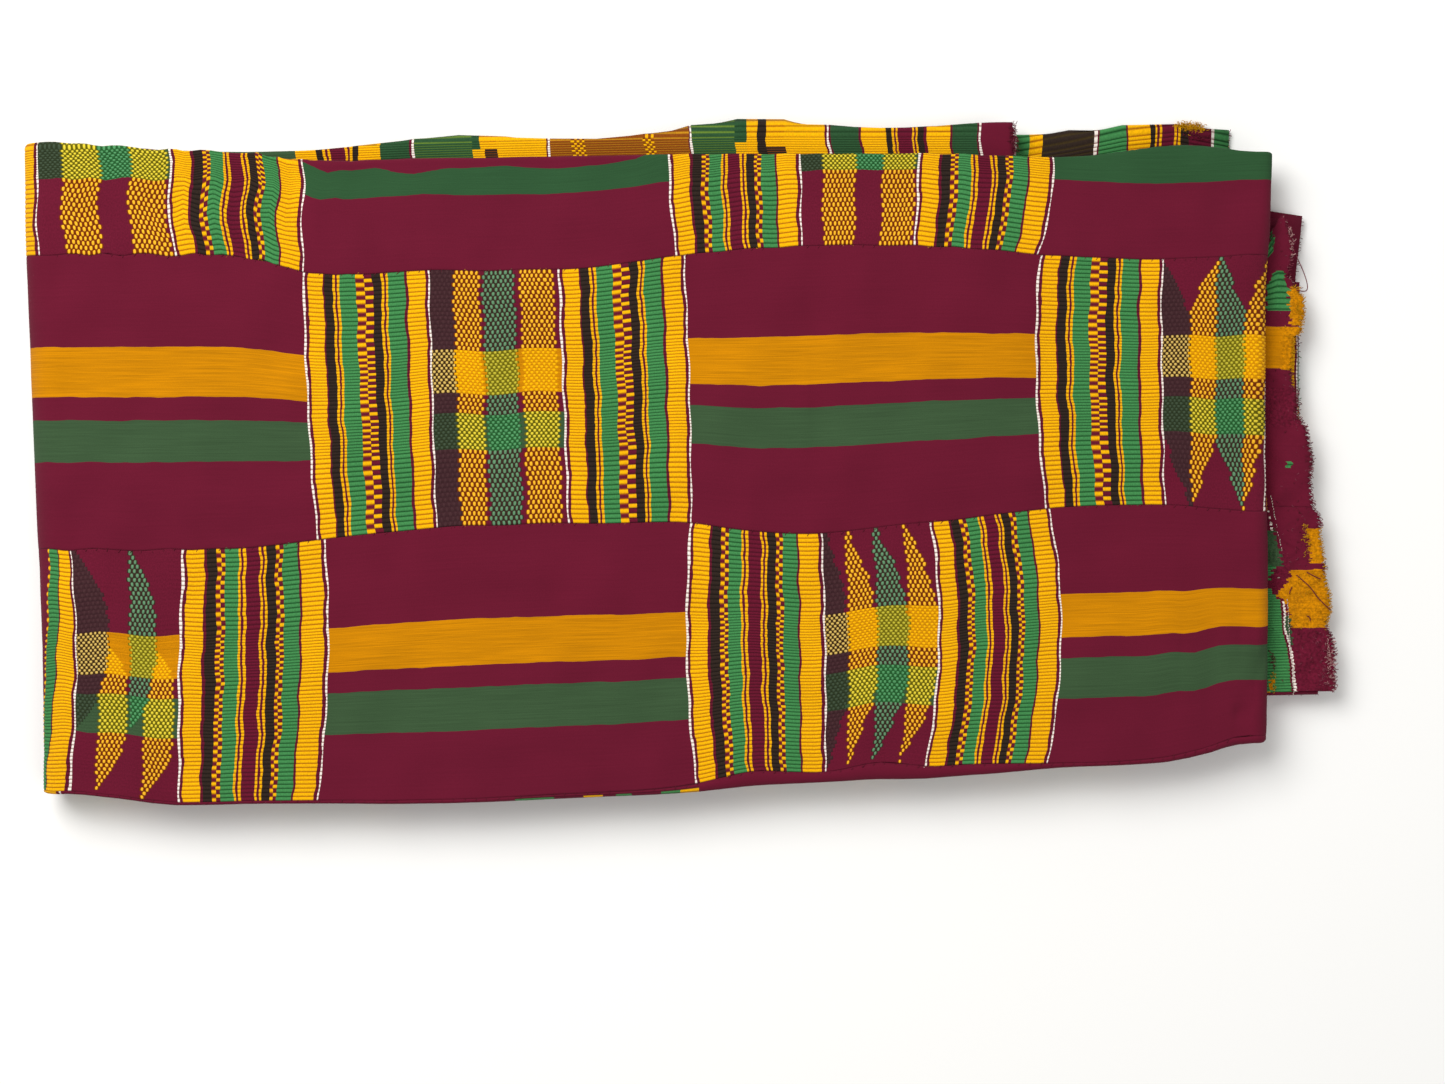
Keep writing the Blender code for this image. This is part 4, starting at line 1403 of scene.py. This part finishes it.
def makeStrip(number):
    bottomEnd, secondCut = stripEnds[number]
    start = pack["leftCentre"] - bigFold - bottomEnd * mm
    end = secondCut * mm - pack["leftCentre"] + secondFrom
    lines, faces = weaveColumns(number, start, end)
    rows, ribs, settings = weaveRows(number)
    along = bowWefts(number, lines, rows, settings["leans"], end)
    x, y, z = layCloth(along, spreadAcross(number, along, rows))
    nominal = bandsAt(lines, settings, rows)
    points = raiseWeave(number, np.stack([x, y, z], axis=2), faces, rows, ribs, nominal)
    if number in cutEdges:
        looseness = np.clip((along - (underRight + 3 * mm)) / (8 * mm), 0, 1)
        lift = sheetSettings["looseRise"] + crumple(points[:, :, 0], points[:, :, 1])
        points[:, :, 2] += looseness * lift
    if number == 5:
        # the corner at the back is pulled out and turned back
        pull = np.clip(1 - rows / sheetSettings["cornerWidth"], 0, 1) ** 2
        points[:, :, 1] += looseness * sheetSettings["cornerPull"] * pull[None, :]

    rowCount = len(rows)
    corners, uvs, ribUvs, kinds = [], [], [], []
    middleX = (x[:-1, :-1] + x[1:, 1:]) / 2 / mm
    for i, (uLeft, uRight, kind) in enumerate(faces):
        for first in range(i * rowCount, (i + 1) * rowCount - 1):
            corners.append((first, first + rowCount, first + rowCount + 1, first + 1))
        left, right = np.full(rowCount - 1, uLeft), np.full(rowCount - 1, uRight)
        here, there = nominal[i], nominal[i + 1]
        uvs.append(np.stack([left, here[:-1], right, there[:-1], right, there[1:], left, here[1:]],
                            axis=1))
        ribUvs.append(np.stack([left, ribs[:-1], right, ribs[:-1], right, ribs[1:], left, ribs[1:]],
                               axis=1))
        kinds.append(np.full(rowCount - 1, kind))
        if lines[i, 1] > secondFrom:
            layScraps(number, rows[:-1], middleX[i], kinds[-1])

    mesh = bpy.data.meshes.new(f"kenteStrip{number + 1}")
    mesh.from_pydata(points.reshape(-1, 3).tolist(), [], corners)
    for layerName, values in (("weave", uvs), ("ribs", ribUvs)):
        layer = mesh.uv_layers.new(name=layerName)
        layer.uv.foreach_set("vector", np.concatenate(values).astype(np.float32).ravel())
    for cotton in cottons:
        mesh.materials.append(cotton)
    mesh.polygons.foreach_set("material_index", np.concatenate(kinds).astype(np.int32))
    mesh.shade_smooth()
    strip = newObject(mesh.name, mesh)
    solid = strip.modifiers.new("Cloth thickness", "SOLIDIFY")
    solid.thickness = pack["clothThickness"]
    solid.offset = 0.0
    makePlain(strip)
    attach(strip, "root")
    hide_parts(f"strip_{number + 1}")
    return {"piece": strip, "length": end - start, "points": points, "along": lines[:, 1],
            "faces": faces, "rows": rows, "nominal": nominal, "kinds": kinds}


woven = []
for number in range(9):
    woven.append(makeStrip(number))
    print("strip", number + 1, "woven,", countTriangles(woven[-1]["piece"].data), "triangles")

# Loose threads: the frayed cut ends, the turns of the weft at the selvedges and the sewing
threadSettings = {
    # Columns: middle and end of the thread's arc (mm), its thickness (mm), smallest and largest
    # scale, how far it swings about x, y and z (radians), seed
    "fray": ((1.0, 0.7, 0.5), (1.9, 0.2, 0.0), 0.28, 0.35, 1.15, (3.1, 0.35, 1.0), 11),
    "fuzz": ((0.5, 0.6, 0.5), (1.1, 0.1, 0.0), 0.26, 0.5, 1.2, (3.1, 0.6, 3.1), 23),
    "bead": ((0.0, 0.3, 0.4), (0.0, 0.6, 0.0), 0.36, 0.8, 1.1, (0.3, 0.2, 0.35), 31),
    "turn": ((0.4, 1.2, 0.4), (0.8, 0.05, -0.1), 0.3, 0.4, 0.9, (0.5, 0.3, 0.7), 5),
    "stitch": ((0.1, 0.0, 0.55), (0.7, 1.3, 0.0), 0.22, 0.8, 1.2, (0.1, 0.1, 0.35), 3),
}
fraySettings = {
    "hiddenSpacing": 1.1 * mm,
    "shownSpacing": 0.22 * mm,
    "inset": 0.7 * mm,  # how far inside the cut edge a strand begins
    "faded": 0.25,  # share of the maroon strands
    "pale": 0.25,  # share of them where the end is loosest
    "loosestRows": {5: (0, 35), 6: (141, 999)},  # rows of the strip's mesh
}
fuzzSettings = {
    "from": 8 * mm,  # past the right fold
    "rowStep": 2,
    "share": (0.05, 0.42),  # of the places that have fuzz: everywhere, and more at the cut edge
    "growth": 1.5,
    "faded": 0.3,
}
turnSettings = {
    "spacing": 2.0,  # mm along the strip
    "share": 0.55,  # of the places that have one
    "rise": 0.25 * mm,
}
stitchSettings = {"from": 2 * mm, "spacing": 4.2 * mm, "back": 0.9 * mm, "rise": 0.35 * mm}
threadColours = {
    "maroon": "#65202f",
    "maroonFaded": "#84404f",
    "yellow": "#c28a0c",
    "green": "#3f6f42",
    "black": "#2a211c",
    "white": "#d5c6bb",
    "pale": "#b98f8c",
}


def spunThread(colour):
    # Spun cotton, dull, with fibres that break up its colour
    material, shader = newMaterial(
        f"spunCotton_{colour}", {"Roughness": 0.9, "Specular IOR Level": 0.08})
    tree = material.node_tree
    place = addNode(tree, "ShaderNodeTexCoord").outputs["Object"]
    fibres = addNode(tree, "ShaderNodeTexNoise", {"Vector": place, "Scale": 1800.0})
    shade = addNode(tree, "ShaderNodeMapRange", {0: fibres, 1: 0.3, 2: 0.7, 3: 0.75, 4: 1.15})
    tint = addNode(tree, "ShaderNodeVectorMath",
                   {0: linearColour(threadColours[colour])[:3], "Scale": shade}, operation="SCALE")
    bump = addNode(tree, "ShaderNodeBump", {"Strength": 0.3, "Distance": 0.05 * mm, "Height": fibres})
    tree.links.new(tint.outputs[0], shader.inputs["Base Color"])
    tree.links.new(bump.outputs[0], shader.inputs["Normal"])
    return material


spun = {colour: spunThread(colour) for colour in threadColours}


def threadTree():
    # Geometry Nodes: one short arc of thread on each point, turned as the point says, swung and
    # sized at random, and kept off the floor
    tree = bpy.data.node_groups.new("looseThreads", "GeometryNodeTree")
    for name, kind in [("Points", "NodeSocketGeometry"), ("Middle", "NodeSocketVector"),
                       ("End", "NodeSocketVector"), ("Thickness", "NodeSocketFloat"),
                       ("Smallest", "NodeSocketFloat"), ("Largest", "NodeSocketFloat"),
                       ("Swing", "NodeSocketVector"), ("Seed", "NodeSocketInt"),
                       ("Material", "NodeSocketMaterial")]:
        tree.interface.new_socket(name, in_out="INPUT", socket_type=kind)
    tree.interface.new_socket("Threads", in_out="OUTPUT", socket_type="NodeSocketGeometry")
    given = addNode(tree, "NodeGroupInput").outputs
    arc = addNode(tree, "GeometryNodeCurveQuadraticBezier",
                  {"Resolution": 4, "Start": (0, 0, 0), "Middle": given["Middle"],
                   "End": given["End"]})
    radius = addNode(tree, "ShaderNodeMath", {0: given["Thickness"], 1: 0.5}, operation="MULTIPLY")
    ring = addNode(tree, "GeometryNodeCurvePrimitiveCircle", {"Resolution": 3, "Radius": radius})
    thread = addNode(tree, "GeometryNodeCurveToMesh",
                     {"Curve": arc, "Profile Curve": ring.outputs["Curve"], "Fill Caps": True})
    heading = addNode(tree, "GeometryNodeInputNamedAttribute", {"Name": "heading"}, data_type="FLOAT")
    facing = addNode(tree, "ShaderNodeCombineXYZ", {2: heading.outputs["Attribute"]})
    least = addNode(tree, "ShaderNodeVectorMath", {0: given["Swing"], "Scale": -1.0},
                    operation="SCALE")
    swing = addNode(tree, "FunctionNodeRandomValue",
                    {0: least, 1: given["Swing"], "Seed": given["Seed"]}, data_type="FLOAT_VECTOR")
    turned = addNode(tree, "ShaderNodeVectorMath", {0: facing, 1: swing}, operation="ADD")
    rotation = addNode(tree, "FunctionNodeEulerToRotation", {0: turned})
    size = addNode(tree, "FunctionNodeRandomValue",
                   {2: given["Smallest"], 3: given["Largest"], "Seed": given["Seed"]},
                   data_type="FLOAT")
    placed = addNode(tree, "GeometryNodeInstanceOnPoints",
                     {"Points": given["Points"], "Instance": thread, "Rotation": rotation,
                      "Scale": size.outputs[1]})
    real = addNode(tree, "GeometryNodeRealizeInstances", {0: placed})
    position = addNode(tree, "GeometryNodeInputPosition")
    parts = addNode(tree, "ShaderNodeSeparateXYZ", {0: position})
    above = addNode(tree, "ShaderNodeMath", {0: parts.outputs[2], 1: 0.1 * mm}, operation="MAXIMUM")
    kept = addNode(tree, "ShaderNodeCombineXYZ", {0: parts.outputs[0], 1: parts.outputs[1], 2: above})
    resting = addNode(tree, "GeometryNodeSetPosition", {"Geometry": real, "Position": kept})
    coloured = addNode(tree, "GeometryNodeSetMaterial",
                       {"Geometry": resting, "Material": given["Material"]})
    addNode(tree, "NodeGroupOutput", {0: coloured})
    return tree


looseThreads = threadTree()


def makeThreads(name, style, colour, places):
    # places: rows of x, y, z in metres and the heading in radians
    if not len(places):
        return
    places = np.array(places)
    cloud = bpy.data.meshes.new(name)
    cloud.from_pydata(places[:, :3].tolist(), [], [])
    cloud.attributes.new("heading", "FLOAT", "POINT").data.foreach_set(
        "value", places[:, 3].astype(np.float32))
    piece = newObject(name, cloud)
    middle, end, thickness, smallest, largest, swing, seed = threadSettings[style]
    values = {
        "Middle": Vector(middle) * mm, "End": Vector(end) * mm, "Thickness": thickness * mm,
        "Smallest": smallest, "Largest": largest, "Swing": swing, "Seed": seed + len(places),
        "Material": spun[colour],
    }
    nodes = piece.modifiers.new("Loose threads", "NODES")
    nodes.node_group = looseThreads
    for item in looseThreads.interface.items_tree:
        if item.in_out == "INPUT" and item.name in values:
            nodes[item.identifier] = values[item.name]
    makePlain(piece)
    piece.data.shade_smooth()
    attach(piece, "root")
    print(name, len(places), "threads,", countTriangles(piece.data), "triangles")


def rimColour(strip, column, row):
    # the colour of the warp that ends at this row of a cut edge, or of the scrap that lies there
    weave = weaveNames[strip["kinds"][column][min(row, len(strip["rows"]) - 2)]]
    if weave == "foldBack":
        return "maroon"
    for colour in ("yellow", "green", "maroon"):
        if weave.startswith(colour):
            return colour
    band = np.searchsorted(loom["bandEdges"], strip["nominal"][column, row], side="right") - 1
    band = loom["bands"][min(band, 4)]
    return {"yellowWarp": "yellow", "greenWarp": "green"}.get(band, "maroon")


def spotsAlong(rim, first, spacing):
    # evenly spaced places along a rim, and the rim's own point next to each
    lengths = np.append(0, np.cumsum(np.linalg.norm(np.diff(rim, axis=0), axis=1)))
    for at in np.arange(first, lengths[-1], spacing):
        spot = [np.interp(at, lengths, rim[:, axis]) for axis in range(3)]
        yield spot, min(int(np.searchsorted(lengths, at)), len(rim) - 1)


# the strands of each cut end point out along the strip, in the colour of the warp there
chance = np.random.default_rng(7)
frays = {"maroon": [], "maroonFaded": [], "yellow": [], "green": [], "pale": []}
for number, strip in enumerate(woven):
    for column in (0, -1):
        shownEnd = column == -1 and number in shownStrips
        spacing = fraySettings["shownSpacing" if shownEnd else "hiddenSpacing"]
        firstLoose, lastLoose = fraySettings["loosestRows"].get(number, (0, -1))
        for spot, row in spotsAlong(strip["points"][column], 0.5 * mm, spacing):
            colour = rimColour(strip, column, row)
            dice = chance.random()
            if colour == "maroon" and dice < fraySettings["faded"]:
                colour = "maroonFaded"
            loosest = shownEnd and firstLoose <= row <= lastLoose
            if colour == "maroon" and loosest and dice > 1 - fraySettings["pale"]:
                colour = "pale"
            spot[0] -= fraySettings["inset"]
            frays[colour].append((*spot, 0.0))
for colour, places in frays.items():
    makeThreads(f"frayedEnds_{colour}", "fray", colour, places)

# fuzz over the crushed ends of the sixth and seventh strips
fuzzes = {"maroon": [], "maroonFaded": [], "yellow": [], "green": [], "pale": [], "white": []}
for number in (5, 6):
    strip = woven[number]
    points = strip["points"]
    fuzzFrom = underRight + fuzzSettings["from"]
    columns = [i for i, at in enumerate(strip["along"][:-1]) if at > fuzzFrom]
    least, more = fuzzSettings["share"]
    for column in columns:
        share = (column - columns[0]) / len(columns)
        for row in range(0, len(strip["rows"]) - 1, fuzzSettings["rowStep"]):
            if chance.random() < more * share ** fuzzSettings["growth"] + least:
                colour = rimColour(strip, column, row)
                if colour == "maroon" and chance.random() < fuzzSettings["faded"]:
                    colour = "maroonFaded"
                spot = points[column, row] + (0, 0, pack["clothThickness"] / 2)
                fuzzes[colour].append((*spot, 0.0))

# Tufts and beaded lines that show on the cut ends. Columns: from x, y, to x, y and spread (pixels),
# strip, its end (0 in the bottom run, -1 in the second), colour, number of threads
tufts = [
    (1180, 125, 1204, 127, 4.0, 4, 0, "yellow", 380),
    (1187, 135, 1213, 138, 4.0, 4, 0, "maroon", 60),
    (1012, 124, 1016, 152, 4.0, 4, -1, "maroon", 150),
    (1289, 228, 1292, 250, 2.0, 5, -1, "pale", 26),
    (1270, 232, 1272, 244, 3.0, 5, -1, "green", 30),
    (1296, 300, 1300, 325, 5.0, 5, -1, "yellow", 50),
    (1270, 497, 1281, 551, 0.3, 5, -1, "white", 22),
    (1304, 524, 1307, 555, 4.0, 5, -1, "yellow", 50),
    (1286, 601, 1293, 695, 0.3, 6, -1, "white", 38),
    (1272, 652, 1273, 671, 3.0, 6, -1, "maroon", 40),
    (1273, 675, 1273, 691, 2.0, 6, -1, "yellow", 30),
    (1327, 637, 1331, 683, 3.0, 6, -1, "pale", 60),
    (1322, 650, 1326, 690, 5.0, 6, -1, "maroonFaded", 50),
]
# Single warp threads that have come loose: the strip they lie on, and the pixels they pass through
looseStrands = [
    (5, [(1285, 227), (1292, 249), (1303, 271), (1308, 287), (1305, 293), (1296, 290)]),
    (6, [(1296, 575), (1309, 586), (1316, 597), (1325, 606), (1330, 610)]),
    (6, [(1306, 572), (1314, 577), (1320, 579)]),
    (6, [(1291, 587), (1289, 590), (1288, 594)]),
    (6, [(1306, 616), (1310, 616), (1309, 621)]),
]
strandThickness = 0.36 * mm


def onCloth(px, py, number, end):
    # the place on a strip's upper face, near one of its cut ends, that shows at a pixel
    level = secondHeight + 1.5 * pitch if end else bottomHeight + 1.5 * pitch
    x, y = toPlan(px, py, level)
    x, y = x - pack["middle"][0], y - pack["middle"][1]
    # only the last columns of the mesh are looked through: in the second run 50, in the bottom 20
    points = woven[number]["points"]
    points = (points[-50:] if end else points[:20]).reshape(-1, 3)
    gaps = np.hypot(points[:, 0] - x, points[:, 1] - y)
    near = gaps < max(1.6 * mm, gaps.min() + 0.5 * mm)
    return x, y, points[near, 2].max() + pack["clothThickness"] / 2


for ax, ay, bx, by, spread, number, end, colour, count in tufts:
    strays = chance.normal(0.0, 1.0, (count, 3)) * (0.3, spread / 2, spread / 2)
    for i, (t, sideX, sideY) in enumerate(strays):
        # the white threads are a row of beads, and the others are scattered about the middle
        t = i / (count - 1) if colour == "white" else min(max(t + 0.5, 0.0), 1.0)
        spot = onCloth(ax + (bx - ax) * t + sideX, ay + (by - ay) * t + sideY, number, end)
        fuzzes[colour].append((*spot, 0.0))
for colour, places in fuzzes.items():
    style = "bead" if colour == "white" else "fuzz"
    makeThreads(f"{style}_{colour}", style, colour, places)

strandCurve = bpy.data.curves.new("looseStrands", "CURVE")
strandCurve.dimensions = "3D"
strandCurve.bevel_depth = strandThickness / 2
strandCurve.bevel_resolution = 1
strandCurve.use_fill_caps = True
for number, pixels in looseStrands:
    spline = strandCurve.splines.new("NURBS")
    spline.points.add(len(pixels) - 1)
    spline.order_u = 3
    spline.use_endpoint_u = True
    for point, (px, py) in zip(spline.points, pixels):
        x, y, z = onCloth(px, py, number, -1)
        point.co = (x, y, z + strandThickness / 2, 1.0)
strandPath = newObject("looseStrandPath", strandCurve)
strandMesh = bpy.data.meshes.new_from_object(
    strandPath.evaluated_get(bpy.context.evaluated_depsgraph_get()))
bpy.data.objects.remove(strandPath)
strandMesh.name = "looseStrands"
strandMesh.materials.clear()
strandMesh.materials.append(spun["maroon"])
strands = newObject("looseStrands", strandMesh)
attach(strands, "root")
print("loose strands laid:", len(looseStrands))

# turns of the weft stand out along both selvedges of each bar of the top run
turns = {"yellow": [], "green": [], "black": [], "white": []}
for number in shownStrips:
    strip = woven[number]
    for row, heading in ((0, 0.0), (-1, math.pi)):
        if number == 4 and row == 0:
            continue
        for i, (uLeft, uRight, kind) in enumerate(strip["faces"]):
            bars = weaves[weaveNames[kind]]["bars"]
            if not bars or not 0 < strip["along"][i] < reach:
                continue
            a, b = strip["points"][i, row], strip["points"][i + 1, row]
            for u in np.arange(uLeft, uRight, turnSettings["spacing"]):
                bar = barAt(bars, u)[0]
                colour = bar[0].split("/")[0]
                if colour not in turns or bar[2] not in ("solid", "open"):
                    continue
                if chance.random() < turnSettings["share"]:
                    spot = a + (b - a) * (u - uLeft) / (uRight - uLeft)
                    turns[colour].append((*(spot + (0, 0, turnSettings["rise"])), heading))
for colour, places in turns.items():
    makeThreads(f"weftTurns_{colour}", "turn", colour, places)

# slanting stitches hold the strips together, seam by seam along the top run
stitches = []
for number in shownStrips:
    strip = woven[number]
    onTop = (strip["along"] > 0) & (strip["along"] < reach)
    rim = strip["points"][onTop, -1]
    for (x, y, z), _ in spotsAlong(rim, stitchSettings["from"], stitchSettings["spacing"]):
        stitches.append((x, y - stitchSettings["back"], z + stitchSettings["rise"], 0.0))
makeThreads("seamStitches", "stitch", "maroon", stitches)


# The camera, straight above, and a plain light studio
studio = {
    "floor": {"Base Color": linearColour("#f4f3f0"), "Roughness": 0.95, "Specular IOR Level": 0.1},
    "key": {"place": (-0.55, 0.65, 1.15), "size": 0.9, "power": 20.5},
    "fill": {"place": (0.8, -0.5, 1.3), "size": 1.2, "power": 4.5},
    "sky": 0.42,
    "sensor": 36.0,
}


def makeStudio():
    bpy.ops.mesh.primitive_plane_add(size=6.0)
    floor = bpy.context.object
    floor.name = "floor"
    floor.data.materials.append(newMaterial("mattPaper", studio["floor"])[0])  # with no gloss
    for name in ("key", "fill"):
        lamp = bpy.data.lights.new(name, "AREA")
        lamp.size = studio[name]["size"]
        lamp.energy = studio[name]["power"]
        light = newObject(name, lamp)
        light.location = studio[name]["place"]
        light.rotation_euler = (-Vector(studio[name]["place"])).to_track_quat("-Z", "Y").to_euler()
    world = bpy.data.worlds.new("softWorld")
    world.use_nodes = True
    sky = world.node_tree.nodes["Background"]
    sky.inputs["Color"].default_value = (1.0, 1.0, 1.0, 1.0)
    sky.inputs["Strength"].default_value = studio["sky"]
    bpy.context.scene.world = world
    bpy.context.scene.view_settings.view_transform = "Standard"

    lens = bpy.data.cameras.new("camera")
    lens.sensor_width = studio["sensor"]
    viewWidth = photo["width"] * photo["pixel"] * mm
    lens.lens = lens.sensor_width * photo["cameraHeight"] / viewWidth
    camera = newObject("camera", lens)
    x, y = toPlan(*photo["centre"])
    camera.location = (x - pack["middle"][0], y - pack["middle"][1],
                       packTop + photo["cameraHeight"])
    bpy.context.scene.camera = camera


makeStudio()
print("studio set")
